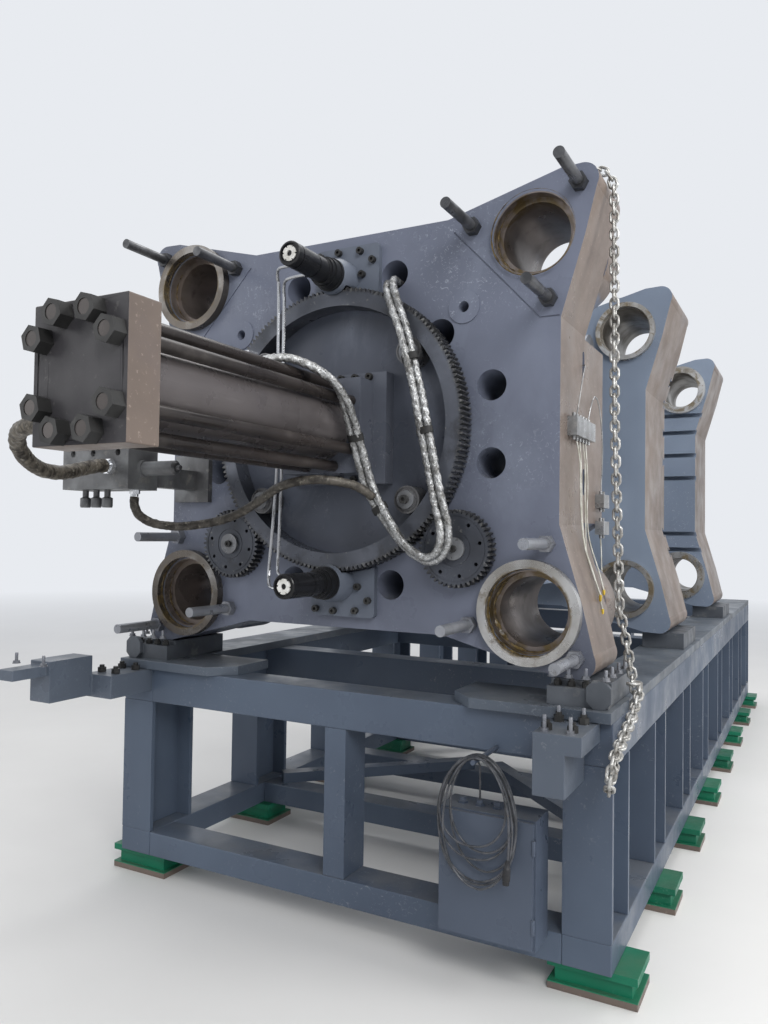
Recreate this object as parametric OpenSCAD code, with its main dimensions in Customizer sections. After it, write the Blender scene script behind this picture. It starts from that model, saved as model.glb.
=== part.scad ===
/* [Base frame] */
// Width of the base across its side columns
base_w = 2092; // [1900:4:2300]
// Height of the base's underside above the floor
mount_h = 100; // [80:5:130]
// Height of the top of the end beams above the floor
beam_top = 889; // [820:1:960]
// Depth of the top beams
beam_h = 142; // [110:2:180]
// Height of the bottom sills
sill_h = 98; // [70:2:120]
// Distance from one side column to the next
bay = 740; // [640:10:840]
// Number of bays along each side
bays = 7; // [6:1:8]
// Width of a side column, across the machine
column_w = 160; // [140:2:200]
// Length of a side column, along the machine
column_d = 260; // [200:5:320]
// Thickness of the column flanges and webs
plate_t = 20; // [14:1:28]
// Width of the middle post of each end frame
mid_post_w = 90; // [70:2:120]
// Sideways place of the front middle post
mid_post_x = 25; // [-60:5:60]
// Width of the end beams along the machine
end_beam_d = 150; // [120:5:200]
// Distance from the base's front to the tail platen's face
base_lead = 65; // [40:5:100]

/* [Ways and mounts] */
// Thickness of the corner plates and of the ways
way_t = 36; // [28:1:44]
// Width of the way on each side
way_w = 240; // [200:5:280]
// Length of a corner plate, across the machine
corner_plate_l = 566; // [480:2:620]
// Overhang of a corner plate past the front beam
corner_plate_over = 32; // [20:2:50]
// Length of a levelling mount, across the machine
mount_l = 290; // [250:5:320]
// Width of a levelling mount, along the machine
mount_w = 200; // [160:5:240]
// Overhang of a levelling mount past the side
mount_over = 74; // [50:2:90]

/* [Platens] */
// Height of the clamping axis above the floor
axis_z = 1865; // [1800:5:1930]
// Half of the tie bar spacing, across the machine
bar_x = 750; // [700:5:800]
// Half of the tie bar spacing, up and down
bar_z = 650; // [600:5:700]
// Radius of the tail platen's tie bar bores
bar_bore_r = 121; // [100:1:124]
// How much less the radius of the moving platen's guide bores is
guide_less = 3; // [2:1:6]
// How much less the radius of the fixed platen's bores is
fixed_less = 6; // [2:1:8]
// Half width of a platen at its lobes
lobe_x = 974; // [950:2:1010]
// Half height of a platen at its lobes
lobe_z = 862; // [845:1:880]
// Half width of a platen between its lobes
waist_x = 849; // [820:1:880]
// Half height of a platen between its lobes
waist_z = 750; // [720:2:780]
// Thickness of the platen lobes
lobe_t = 320; // [280:5:360]
// Thickness of the tail platen
tail_t = 600; // [540:5:660]
// Distance from the tail platen's face to the moving platen's face
moving_gap = 1510; // [1480:5:1600]
// Thickness of the moving platen
moving_t = 560; // [480:5:640]
// Distance from the tail platen's face to the fixed platen
fixed_gap = 3345; // [3200:5:3450]
// Thickness of the fixed platen
fixed_t = 560; // [480:5:640]
// Radius of the lifting and lightening holes in the tail platen
tail_hole_r = 55; // [45:1:60]
// Throat of a T-slot in the die faces
slot_w = 28; // [24:1:36]
// Radius of the ejector holes in the moving platen
ejector_r = 32; // [25:1:38]
// Radius of the hole for the shot sleeve
shot_hole_r = 130; // [100:2:150]

/* [Bore rings and studs] */
// Outer radius of a bright bore ring
ring_r = 180; // [172:1:182]
// Height of a bore ring above the platen's face
ring_h = 36; // [20:1:50]
// Radius of the counterbore inside a ring
ring_in_r = 149; // [140:1:160]
// Radius of the clamp studs
stud_r = 19; // [14:0.5:24]
// Length that a stud stands out
stud_l = 250; // [200:5:300]

/* [Gear train] */
// Module of the teeth
tooth_module = 6; // [5.9:0.05:6.1]
// Teeth of the ring gear
ring_teeth = 176; // [172:2:178]
// Teeth of each idler gear
idler_teeth = 44; // [42:1:45]
// Teeth of each drive pinion
pinion_teeth = 16; // [15:1:18]
// Thickness of the ring gear
ring_w = 78; // [60:1:90]
// Thickness of the idler gears
idler_w = 50; // [40:1:60]
// Distance from the platen's face to the gears' back
gear_gap = 6; // [5:1:12]
// Inner radius of the ring gear
ring_gear_in_r = 466; // [450:1:480]
// Radius of the rollers that carry the ring gear
roller_r = 50; // [40:1:56]
// Direction of the idler gears below the horizontal
idler_angle = 41.7; // [38:0.1:46]
// Direction of the rollers from the horizontal
roller_angle = 40; // [30:1:50]
// Running clearance of pins and rollers
pin_clear = 0.3; // [0.2:0.1:0.5]

/* [Closing cylinder] */
// Distance from the platen's face to the end block's front
cylinder_reach = 1270; // [1180:5:1350]
// Width of the end block
block_w = 330; // [320:2:360]
// Height of the end block
block_h = 364; // [350:2:400]
// Thickness of the end block
block_t = 110; // [90:2:140]
// Outer radius of the barrel
barrel_r = 126; // [112:1:130]
// Radius of the tie rods
rod_r = 20; // [16:1:24]
// Half width of the wide pair of tie rods
rod_wide_x = 127; // [122:1:132]
// Half height of the wide pair of tie rods
rod_wide_z = 87; // [82:1:92]
// Half width of the tall pair of tie rods
rod_tall_x = 57; // [52:1:62]
// Half height of the tall pair of tie rods
rod_tall_z = 147; // [144:1:150]
// Width across flats of the large nuts
nut_af = 64; // [56:1:66]
// Height of the large nuts
nut_h = 42; // [34:1:50]
// Width of the cylinder's foot plate
foot_w = 436; // [400:2:480]
// Height of the cylinder's foot plate
foot_h = 412; // [380:2:460]
// Thickness of the cylinder's foot plate
foot_t = 60; // [40:2:80]

/* [Drives] */
// Length of a drive motor in front of its housing
motor_l = 270; // [220:5:320]
// Radius of a drive motor's flange
motor_flange_r = 62; // [56:1:64]
// Radius of a drive motor's body
motor_r = 44; // [38:1:48]
// Width of a drive housing's plate to the left of the motor
drive_left = 116; // [108:1:130]
// Width of a drive housing's plate to the right of the motor
drive_right = 160; // [140:2:180]
// Height of the top edge of a drive housing's plate above the gear axis
drive_top = 705; // [690:1:720]
// Thickness of a drive housing's plate
drive_plate_t = 25; // [16:1:30]
// Outer radius of the housing round a pinion
housing_r = 74; // [70:1:80]

/* [Toggle] */
// Half distance between the tail pins, up and down
tail_pin_z = 470; // [440:5:500]
// Half distance between the moving platen's pins, up and down
moving_pin_z = 510; // [480:5:540]
// Half distance between the knee pins, up and down
knee_z = 200; // [180:5:220]
// Radius of the toggle pins
pin_r = 55; // [45:1:60]
// Thickness of a toggle link
link_t = 110; // [90:2:130]
// Sideways place of each link pair
link_x = 470; // [430:5:510]

/* [Hoses and chain] */
// Radius of the foil-wrapped hoses
foil_hose_r = 19; // [15:1:22]
// Radius of the branch to the valve block
branch_hose_r = 17; // [12:1:19]
// Radius of the wrapped hose from the end block
end_hose_r = 25; // [20:1:28]
// Radius of the steel pipes between the motors
pipe_r = 6; // [4:0.5:7]
// Diameter of the chain's wire
chain_wire = 10; // [8:0.5:11]
// Distance from one chain link to the next
chain_pitch = 30; // [28:1:34]

/* [Hidden] */
$fn = 48;

// Lengths along the machine, counted from the middle of the whole part
base_len = bays * bay + column_d;
nose = cylinder_reach + nut_h;
tail_y = (nose + base_lead - base_len) / 2;
base_front = tail_y - base_lead;
base_rear = base_front + base_len;
moving_y = tail_y + moving_gap;
fixed_y = tail_y + fixed_gap;

// Heights
sill_top = mount_h + sill_h;
rail_bottom = beam_top - beam_h;
way_top = beam_top + way_t;
side_x = base_w / 2;
column_x = side_x - column_w / 2;
way_x = side_x - way_w / 2;
shoe_h = axis_z - lobe_z - way_top;

// Gears, with the gap kept between turning and fixed pieces
run_gap = 6;
ring_pitch_r = ring_teeth * tooth_module / 2;
idler_pitch_r = idler_teeth * tooth_module / 2;
pinion_pitch_r = pinion_teeth * tooth_module / 2;
idler_c = ring_pitch_r + idler_pitch_r;
pinion_c = ring_pitch_r + pinion_pitch_r;
roller_c = ring_gear_in_r - roller_r - pin_clear;
ring_tip_r = ring_pitch_r + tooth_module;
pinion_tip_r = pinion_pitch_r + tooth_module;
ring_front = gear_gap + ring_w;
idler_front = gear_gap + idler_w;
housing_wall = 20;
motor_face = -ring_front - run_gap - housing_wall;

// Frames of reference: the middle of each platen's face
module at_tail() translate([0, tail_y, axis_z]) children();
module at_moving() translate([0, moving_y, axis_z]) children();
module at_fixed() translate([0, fixed_y, axis_z]) children();

// Turns a flat outline in X and Z into a slab from y to y + t
module slab(y, t) translate([0, y + t, 0]) rotate([90, 0, 0]) linear_extrude(t) children();

// Round bar along Y from y to y + l
module bar_y(x, y, z, r, l) translate([x, y, z]) rotate([-90, 0, 0]) cylinder(r = r, h = l);

// Round bar along X from x to x + l
module bar_x_axis(x, y, z, r, l) translate([x, y, z]) rotate([0, 90, 0]) cylinder(r = r, h = l);

// Block given by its lowest corner and its size
module block(low, size) translate(low) cube(size);

// Hexagonal nut along Y from y to y + h
module nut_y(x, y, z, af, h, turn = 0)
    translate([x, y, z]) rotate([-90, 0, 0]) rotate(turn) cylinder(d = af / cos(30), h = h, $fn = 6);

// Copies on both sides of the machine
module both_sides() {
    children();
    mirror([1, 0, 0]) children();
}

// Copies at the four tie bars, in a platen's own frame
module four_bars() for (sx = [-1, 1], sz = [-1, 1]) translate([sx * bar_x, 0, sz * bar_z]) children();

// Base: upright H-shaped columns
module column(x, y) {
    h = rail_bottom - sill_top;
    block([x - column_w / 2, y, sill_top], [column_w, plate_t, h]);
    block([x - column_w / 2, y + column_d - plate_t, sill_top], [column_w, plate_t, h]);
    block([x - plate_t / 2, y, sill_top], [plate_t, column_d, h]);
}

module base_columns() color("#3b444c") {
    for (i = [0 : bays], s = [-1, 1]) column(s * column_x, base_front + i * bay);
    post_h = rail_bottom - sill_top;
    block([mid_post_x - mid_post_w / 2, base_front, sill_top], [mid_post_w, end_beam_d, post_h]);
    block([-mid_post_w / 2, base_rear - end_beam_d, sill_top], [mid_post_w, end_beam_d, post_h]);
}

module base_end_beams() color("#414b54") {
    inner_w = base_w - 2 * column_w;
    for (y = [base_front, base_rear - end_beam_d]) {
        block([-inner_w / 2, y, rail_bottom], [inner_w, end_beam_d, beam_h]);
        block([-inner_w / 2, y, mount_h], [inner_w, end_beam_d, sill_h]);
    }
}

module base_side_rails() color("#454f58")
    for (s = [-1, 1])
        block([s * column_x - column_w / 2, base_front, rail_bottom], [column_w, base_len, beam_h]);

module base_sills() color("#3b444c")
    for (s = [-1, 1])
        block([s * column_x - column_w / 2, base_front, mount_h], [column_w, base_len, sill_h]);

// Cross beams between the side columns, low at each second column and high under the platens
cross_w = base_w - 2 * column_w;
cross_d = 120;
module cross_beam(y, z, h) block([-cross_w / 2, y, z], [cross_w, cross_d, h]);

module base_cross_beams() color("#333b42") {
    for (i = [1 : bays - 1]) cross_beam(base_front + i * bay + (column_d - cross_d) / 2, mount_h, sill_h);
    for (i = [1, 3, 5]) cross_beam(base_front + i * bay + (column_d - cross_d) / 2, rail_bottom, beam_h);
}

// Flat diagonal braces in the low frame
brace_w = 70;
brace_t = 50;
module brace(x0, y0, x1, y1, z) {
    l = norm([x1 - x0, y1 - y0]);
    a = atan2(y1 - y0, x1 - x0);
    translate([x0, y0, z]) rotate(a) translate([0, -brace_w / 2, 0]) cube([l, brace_w, brace_t]);
}

module base_braces() color("#333b42")
    for (i = [1, 3, 5]) {
        y0 = base_front + i * bay + column_d / 2;
        x0 = cross_w / 2 - brace_w;
        brace(-x0, y0, 0 - brace_w, y0 + bay, sill_top);
        brace(x0, y0, brace_w, y0 + bay, sill_top);
    }

// Thick corner plates on the front of the base
plate_chamfer = 90;
plate_depth = 300;
module corner_plates() color("#47515b")
    both_sides() translate([side_x - corner_plate_l, base_front - corner_plate_over, beam_top])
        linear_extrude(way_t) polygon([[plate_chamfer, 0], [corner_plate_l, 0],
            [corner_plate_l, plate_depth], [0, plate_depth], [0, plate_chamfer]]);

// Long ways on which the platens' shoes stand
module slide_ways() color("#4a545d")
    for (s = [-1, 1]) {
        y0 = base_front - corner_plate_over + plate_depth;
        block([s * way_x - way_w / 2, y0, beam_top], [way_w, base_rear - y0, way_t]);
    }

// Bolted arms that reach forward from the base's front corners
arm_w = 150;
arm_l = 230;
arm_leg_w = 100;
arm_leg_h = 190;
arm_top_h = 60;
arm_z = beam_top - 2;
module corner_arm_right() {
    y0 = base_front - arm_l;
    block([side_x - 40 - arm_w, y0, arm_z - arm_top_h], [arm_w, arm_l, arm_top_h]);
    block([side_x - 40 - arm_w, y0, arm_z - arm_leg_h], [arm_leg_w, arm_l, arm_leg_h - arm_top_h]);
}

head_w = 110;
head_l = 210;
head_h = 160;
tongue_l = 150;
module corner_arm_left() {
    y0 = base_front - arm_l;
    block([-side_x + 6, y0, arm_z - 92], [arm_w, arm_l, 92]);
    block([-side_x - 60, y0 - head_l, arm_z - 84], [head_w, head_l, head_h]);
    block([-side_x - 50, y0 - head_l - tongue_l, arm_z + 20], [80, tongue_l, 40]);
}

module corner_arms() color("#3d464e") {
    corner_arm_right();
    corner_arm_left();
}

// Wedge mounts under the columns
mount_plate = 26;
module levelling_mount() {
    translate([0, -mount_w / 2, 0]) {
        cube([mount_l, mount_w, mount_plate]);
        translate([0, mount_w - 20, 0]) rotate([90, 0, 0]) linear_extrude(mount_w - 40)
            polygon([[20, 0], [mount_l - 20, 0], [mount_l - 20, mount_h - 34], [20, mount_h - mount_plate]]);
        translate([0, 0, mount_h - mount_plate]) cube([mount_l, mount_w, mount_plate]);
    }
}

module levelling_mounts() color("#1f5a45")
    both_sides() for (i = [0 : bays])
        translate([side_x + mount_over - mount_l, base_front + i * bay + column_d / 2, 0])
            levelling_mount();

// Outline of a platen: four lobes on a narrower middle
corner_r = 56;
lobe_start_x = 430;
lobe_end_x = 128;
lobe_taper_z = 190;
lobe_taper_x = 46;
lobe_foot_z = 350;
module quarter_outline() {
    cx = lobe_x - corner_r;
    cz = lobe_z - corner_r;
    translate([cx, cz]) circle(corner_r);
    polygon([[0, 0], [0, waist_z], [lobe_start_x, waist_z], [lobe_x - lobe_end_x, lobe_z - 3],
        [cx, lobe_z], [cx, cz], [lobe_x, cz], [lobe_x - lobe_taper_x, cz - lobe_taper_z],
        [waist_x, lobe_foot_z], [waist_x, 0]]);
}

module platen_outline() {
    for (sx = [0, 1], sz = [0, 1]) mirror([sx, 0]) mirror([0, sz]) quarter_outline();
}

// Outline of the deep middle behind the tail platen's lobes, clear of the tie bars
body_x = 560;
body_slope = 40;
body_corner_z = 500;
module body_outline() for (sx = [0, 1], sz = [0, 1]) mirror([sx, 0]) mirror([0, sz])
    polygon([[0, 0], [waist_x, 0], [waist_x, lobe_foot_z - 10], [body_x + body_slope, body_corner_z],
        [body_x, waist_z], [0, waist_z]]);

module bar_holes(r, y, l) four_bars() bar_y(0, y, 0, r, l);

// A plain platen, its lobes full round the bores
lobe_core_r = 180;
module platen_body(t) {
    slab(0, t) platen_outline();
    four_bars() bar_y(0, 0, 0, lobe_core_r, t);
}

// Round holes through the tail platen, and spot faces with a blind hole for upper idlers
tail_holes = [[215, 579], [405, 337], [604, 137]];
idler_spot = [497, 425];
spot_r = 60;
spot_h = 5;
spot_hole_r = 20;
spot_hole_l = 90;

// Seats at the mouths of the tail platen's bores, sleeves behind them, and the piston rod's hole
seat_r = 140;
seat_depth = 40;
sleeve_r = 184;
sleeve_l = 150;
rod_hole_r = 100;

// Joints round the pads of the upper corners, cut as a fine groove
groove_w = 5;
groove_d = 4;
groove_z = lobe_foot_z + 6;
module groove_outline() polygon([[457, 702], [778, groove_z + groove_w / 2],
    [waist_x - 3, groove_z + groove_w / 2], [waist_x - 3, groove_z - groove_w / 2],
    [776, groove_z - groove_w / 2], [453, 698]]);
module corner_grooves() for (s = [0, 1]) mirror([s, 0, 0]) slab(-1, groove_d + 1) groove_outline();

// Lubrication slots in the sides of the tail platen
side_slot_l = 70;
side_slot_r = 14;
side_slot_d = 45;
side_slots = [[300, 243], [312, -189]];
module side_slot(y, z) for (s = [-1, 1], e = [-1, 1]) {
    bar_x_axis(s * waist_x - side_slot_d, y, z + e * side_slot_l / 2, side_slot_r, 2 * side_slot_d);
    block([s * waist_x - side_slot_d, y - side_slot_r, z - side_slot_l / 2],
        [2 * side_slot_d, 2 * side_slot_r, side_slot_l]);
}

module tail_platen() color("#3c454d") at_tail() difference() {
    union() {
        slab(0, lobe_t) platen_outline();
        slab(lobe_t, tail_t - lobe_t) body_outline();
        four_bars() bar_y(0, lobe_t - 1, 0, sleeve_r, sleeve_l + 1);
        for (s = [-1, 1]) bar_y(s * idler_spot[0], -spot_h, idler_spot[1], spot_r, spot_h + 1);
    }
    bar_holes(bar_bore_r, -1, lobe_t + sleeve_l + 2);
    bar_holes(seat_r, -1, seat_depth + 1);
    for (h = tail_holes, sx = [-1, 1], sz = [-1, 1])
        bar_y(sx * h[0], -1, sz * h[1], tail_hole_r, tail_t + 2);
    for (s = [-1, 1])
        bar_y(s * idler_spot[0], -spot_h - 1, idler_spot[1], spot_hole_r, spot_hole_l);
    bar_y(0, -1, 0, rod_hole_r, tail_t + 2);
    corner_grooves();
    for (p = side_slots) side_slot(p[0], p[1]);
}

// T-slots across a die face at y, cut into the platen on the side given by dir
slot_rows = [-470, -360, 30, 190, 350, 470];
slot_throat = 30;
slot_head_w = 48;
slot_head_h = 22;
module t_slots(y, dir) for (z = slot_rows) {
    throat_y = dir > 0 ? y - 1 : y - slot_throat - 1;
    head_y = dir > 0 ? y + slot_throat : y - slot_throat - slot_head_h;
    block([-lobe_x - 5, throat_y, z - slot_w / 2], [2 * lobe_x + 10, slot_throat + 2, slot_w]);
    block([-lobe_x - 5, head_y, z - slot_head_w / 2], [2 * lobe_x + 10, slot_head_h, slot_head_w]);
}

ejector_x = 200;
ejector_z = 270;
guide_r = bar_bore_r - guide_less;
module moving_platen() color("#4a5560") at_moving() difference() {
    platen_body(moving_t);
    bar_holes(guide_r, -1, moving_t + 2);
    for (sx = [-1, 1], sz = [-1, 1])
        bar_y(sx * ejector_x, -1, sz * ejector_z, ejector_r, moving_t + 2);
    t_slots(moving_t, -1);
}

shot_hole_z = -180;
fixed_bore_r = bar_bore_r - fixed_less;
module fixed_platen() color("#4a5560") at_fixed() difference() {
    platen_body(fixed_t);
    bar_holes(fixed_bore_r, -1, fixed_t + 2);
    bar_y(0, -1, shot_hole_z, shot_hole_r, fixed_t + 2);
    t_slots(0, 1);
}

// Lugs and pins of the toggle
lug_t = 80;
lug_gap = 3;
lug_r = 120;
link_face = link_t / 2 + lug_gap;
tail_pin_y = tail_t + 165;
moving_pin_y = moving_gap - 150;
knee_y = (tail_pin_y + moving_pin_y) / 2 - 20;

// One lug in the YZ plane, from x to x + t, from a face at y0 to the eye at y1
module lug(x, t, y0, y1, z) difference() {
    union() {
        bar_x_axis(x, y1, z, lug_r, t);
        block([x, min(y0, y1), z - lug_r], [t, abs(y1 - y0), 2 * lug_r]);
    }
    bar_x_axis(x - 1, y1, z, pin_r + pin_clear, t + 2);
}

// Two lugs round each link on the tail platen, and one between each link's plates on the other
module toggle_lugs() color("#434c54") at_tail() for (s = [-1, 1], sz = [-1, 1]) {
    for (side = [link_face, -link_face - lug_t])
        lug(s * link_x + side, lug_t, tail_t, tail_pin_y, sz * tail_pin_z);
    lug(s * link_x - link_t / 2, link_t, moving_gap, moving_pin_y, sz * moving_pin_z);
}

// Shoes between the platens' lower lobes and the ways
shoe_w = 200;
shoe_l = 420;
shoe_in = 70;
ledge_h = 60;
ledge_l = 50;
stop_w = 80;
stop_h = 92;
stop_t = 20;
stop_cut = 22;
module stop_outline(w, h, c) polygon([[c - w, 0], [w - c, 0], [w, c], [w, h - c], [w - c, h],
    [c - w, h], [-w, h - c], [-w, c]]);

module platen_shoes() color("#50565b") for (s = [-1, 1]) {
    for (y = [tail_y, moving_y + shoe_in, fixed_y + shoe_in])
        block([s * way_x - shoe_w / 2, y, way_top], [shoe_w, y == tail_y ? lobe_t : shoe_l, shoe_h]);
    block([s * way_x - shoe_w / 2, tail_y - ledge_l, way_top], [shoe_w, ledge_l, ledge_h]);
    translate([s * (way_x + shoe_w / 2 - stop_w / 2 + 14), 0, way_top])
        slab(tail_y - ledge_l - stop_t, stop_t) stop_outline(stop_w / 2, stop_h, stop_cut);
}

// Bright rings round the tie bar bores
module bore_ring(y, r, rin, h) difference() {
    bar_y(0, y, 0, r, h);
    bar_y(0, y - 1, 0, rin, h + 2);
}

ring_clear = 6;
far_ring_h = 30;
moving_ring_r = 146;
fixed_ring_r = 165;
module bore_rings() color("#9a9fa3") {
    at_tail() for (c = [[-1, 1], [-1, -1], [1, -1]])
        translate([c[0] * bar_x, 0, c[1] * bar_z]) bore_ring(-ring_h, ring_r, ring_in_r, ring_h);
    at_moving() four_bars() bore_ring(-far_ring_h, moving_ring_r, guide_r + ring_clear, far_ring_h);
    at_fixed() four_bars() bore_ring(-far_ring_h, fixed_ring_r, fixed_bore_r + ring_clear, far_ring_h);
}

// The three clamp studs round the right-hand upper bore: direction and distance from its axis
stud_spots = [[42, 215], [166, 227], [284, 241]];
module each_stud() at_tail() for (sx = [0, 1], sz = [0, 1]) mirror([sx, 0, 0]) mirror([0, 0, sz])
    translate([bar_x, 0, bar_z]) for (p = stud_spots)
        translate([p[1] * cos(p[0]), 0, p[1] * sin(p[0])]) children();

module clamp_studs() color("#8c9094") each_stud() bar_y(0, -stud_l, 0, stud_r, stud_l);

stud_nut_af = 54;
stud_nut_h = 32;
module stud_nuts() color("#2b2e31") each_stud() difference() {
    nut_y(0, -stud_nut_h, 0, stud_nut_af, stud_nut_h);
    bar_y(0, -stud_nut_h - 1, 0, stud_r + pin_clear, stud_nut_h + 2);
}

// Involute teeth
pressure_angle = 20;
backlash = 0.5;
function involute(base_r, r) = let (t = sqrt(max(0, pow(r / base_r, 2) - 1))) t * 180 / PI - atan(t);
// Half of a tooth's angle at radius r
function tooth_half(n, r) = let (pr = n * tooth_module / 2, br = pr * cos(pressure_angle))
    90 / n - backlash / pr * 90 / PI + involute(br, pr) - involute(br, max(r, br));
function tooth_flank(n, steps) = let (pr = n * tooth_module / 2, br = pr * cos(pressure_angle),
    low = pr - 1.25 * tooth_module, high = pr + tooth_module)
    [for (i = [0 : steps]) let (r = low + (high - low) * i / steps) [r, tooth_half(n, r)]];

module gear_outline(n, steps) {
    flank = tooth_flank(n, steps);
    polygon([for (k = [0 : n - 1], j = [0 : 2 * steps + 1])
        let (up = j <= steps, p = up ? flank[j] : flank[2 * steps + 1 - j],
            a = k * 360 / n + (up ? -p[1] : p[1]))
        p[0] * [cos(a), sin(a)]]);
}

// Turn of a gear with n teeth that meshes with the ring gear in the direction a
function mesh_turn(n, a) = a + 180 - 180 / n + a * ring_teeth / n;

module gear(n, w, steps) slab(-gear_gap - w, w) difference() {
    gear_outline(n, steps);
    children();
}

module ring_gear() color("#6d7276") at_tail()
    gear(ring_teeth, ring_w, 2) circle(ring_gear_in_r, $fn = 96);

axle_r = 24;
axle_gap = 0.5;
idler_hole_c = 97;
idler_hole_r = 7;
idler_grooves = [62, 116];
groove_t = 3;
module idler_holes() {
    circle(axle_r + pin_clear);
    for (i = [0 : 7]) rotate(i * 45) translate([idler_hole_c, 0]) circle(idler_hole_r);
}

module idler_at(s) at_tail() mirror([s < 0 ? 1 : 0, 0, 0])
    rotate([0, idler_angle, 0]) translate([idler_c, 0, 0]) rotate([0, -idler_angle, 0]) children();

module idler(s) idler_at(s) rotate([0, -mesh_turn(idler_teeth, -idler_angle), 0]) difference() {
    gear(idler_teeth, idler_w, 3) idler_holes();
    for (r = idler_grooves) bore_ring(-idler_front - 1, r, r - groove_t, groove_t);
}

module idler_right() color("#3f4448") idler(1);
module idler_left() color("#3f4448") idler(-1);

// A pinion with its shaft, which ends at the motor's face
shaft_r = 20;
module pinion(s) at_tail() mirror([0, 0, s < 0 ? 1 : 0]) translate([0, 0, pinion_c]) {
    rotate([0, -mesh_turn(pinion_teeth, 90), 0]) gear(pinion_teeth, ring_w, 4);
    bar_y(0, motor_face + axle_gap, 0, shaft_r, -ring_front - motor_face + 10);
}

module pinion_top() color("#55595c") pinion(1);
module pinion_bottom() color("#55595c") pinion(-1);

// Rollers that carry the ring gear from inside
module roller_at(i) at_tail() mirror([i % 2, 0, 0]) mirror([0, 0, i > 1 ? 1 : 0])
    translate([roller_c * cos(roller_angle), 0, roller_c * sin(roller_angle)]) children();

roller_axle_r = 16;
module roller(i) roller_at(i) difference() {
    bar_y(0, -ring_front, 0, roller_r, ring_w);
    bar_y(0, -ring_front - 1, 0, roller_axle_r + pin_clear, ring_w + 2);
    bore_ring(-ring_front - 1, roller_r - 6, roller_r - 10, 4);
}

module roller_1() color("#33373a") roller(0);
module roller_2() color("#33373a") roller(1);
module roller_3() color("#33373a") roller(2);
module roller_4() color("#33373a") roller(3);

// Fixed axles of the idlers and rollers, with their end caps
idler_cap_r = 40;
idler_cap_t = 10;
roller_cap_r = 33;
roller_cap_t = 12;
module axle(r, front, cap_r, cap_t) {
    bar_y(0, -front - axle_gap, 0, r, front + axle_gap);
    bar_y(0, -front - axle_gap - cap_t, 0, cap_r, cap_t);
    bar_y(0, -gear_gap + axle_gap, 0, 1.6 * r, gear_gap - axle_gap);
}

module gear_axles() color("#7d8184") {
    for (s = [-1, 1]) idler_at(s) axle(axle_r, idler_front, idler_cap_r, idler_cap_t);
    for (i = [0 : 3]) roller_at(i) axle(roller_axle_r, ring_front, roller_cap_r, roller_cap_t);
}

// Housings that hold a pinion over the ring gear, each with its mounting plate
drive_corner_r = 16;
cone_l = 34;
module drive_plate() {
    low = pinion_c - housing_r;
    for (x = [-drive_left + drive_corner_r, drive_right - drive_corner_r])
        translate([x, drive_top - drive_corner_r]) circle(drive_corner_r);
    translate([-drive_left, low]) square([drive_left + drive_right, drive_top - drive_corner_r - low]);
    translate([-drive_left + drive_corner_r, low])
        square([drive_left + drive_right - 2 * drive_corner_r, drive_top - low]);
}

module drive_housing() difference() {
    union() {
        slab(-drive_plate_t, drive_plate_t) drive_plate();
        translate([0, 0, pinion_c]) rotate([90, 0, 0]) rotate_extrude() polygon([[0, 0], [housing_r, 0],
            [housing_r, -motor_face - cone_l], [motor_flange_r, -motor_face], [0, -motor_face]]);
    }
    bar_y(0, -ring_front - run_gap, 0, ring_tip_r + run_gap, ring_front + run_gap + 1, $fn = 96);
    bar_y(0, -ring_front - run_gap, pinion_c, pinion_tip_r + run_gap, ring_front + run_gap + 1);
    bar_y(0, motor_face - 1, pinion_c, shaft_r + run_gap, housing_wall + 2);
}

module drive_brackets() color("#4c5259") at_tail() for (s = [0, 1]) mirror([0, 0, s]) drive_housing();

// Stepped drive motors, given as distance from the flange and radius
motor_steps = [[0, 0], [0, motor_flange_r], [12, motor_flange_r], [12, motor_flange_r - 5],
    [44, motor_flange_r - 5], [44, motor_r + 8], [62, motor_r + 8], [62, motor_r + 2], [76, motor_r + 2],
    [76, motor_r], [130, motor_r], [130, motor_r - 3], [136, motor_r - 3], [136, motor_r],
    [motor_l - 34, motor_r], [motor_l - 34, motor_r - 4], [motor_l - 30, motor_r - 4],
    [motor_l - 30, motor_r], [motor_l - 3, motor_r], [motor_l, motor_r - 3], [motor_l, motor_r - 8],
    [motor_l - 6, motor_r - 9], [motor_l - 6, 0]];
pipe_y = -205;
pipe_far_z = pinion_c + 24;
pipe_near_z = pinion_c - 20;
port_x = -motor_r - 2;
module motor() {
    translate([0, motor_face, pinion_c]) rotate([90, 0, 0]) rotate_extrude()
        polygon([for (p = motor_steps) [p[1], p[0]]]);
    for (z = [pipe_near_z, pipe_far_z]) bar_x_axis(port_x, pipe_y, z, 10, motor_r - 14);
}

module drive_motors() color("#1d1f22") at_tail() for (s = [0, 1]) mirror([0, 0, s]) motor();

// Closing cylinder
block_y = -cylinder_reach;
rod_places = [for (sx = [-1, 1], sz = [-1, 1], p = [[rod_wide_x, rod_wide_z], [rod_tall_x, rod_tall_z]])
    [sx * p[0], sz * p[1]]];
flange_t = 100;
flange_h = 344;
flange_front = -foot_t - flange_t;

module cylinder_foot() color("#4a4440") at_tail() difference() {
    union() {
        block([-foot_w / 2, -foot_t, -foot_h / 2], [foot_w, foot_t, foot_h]);
        block([-block_w / 2, flange_front, -flange_h / 2], [block_w, flange_t, flange_h]);
    }
    for (p = rod_places) bar_y(p[0], flange_front - 1, p[1], rod_r + pin_clear, flange_t + 1);
}

module cylinder_barrel() color("#5a4c45") at_tail()
    bar_y(0, block_y + block_t, 0, barrel_r, flange_front - block_y - block_t);

module cylinder_end_block() color("#4c4644") at_tail() difference() {
    block([-block_w / 2, block_y, -block_h / 2], [block_w, block_t, block_h]);
    for (p = rod_places) bar_y(p[0], block_y - 1, p[1], rod_r + pin_clear, block_t + 2);
}

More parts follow.
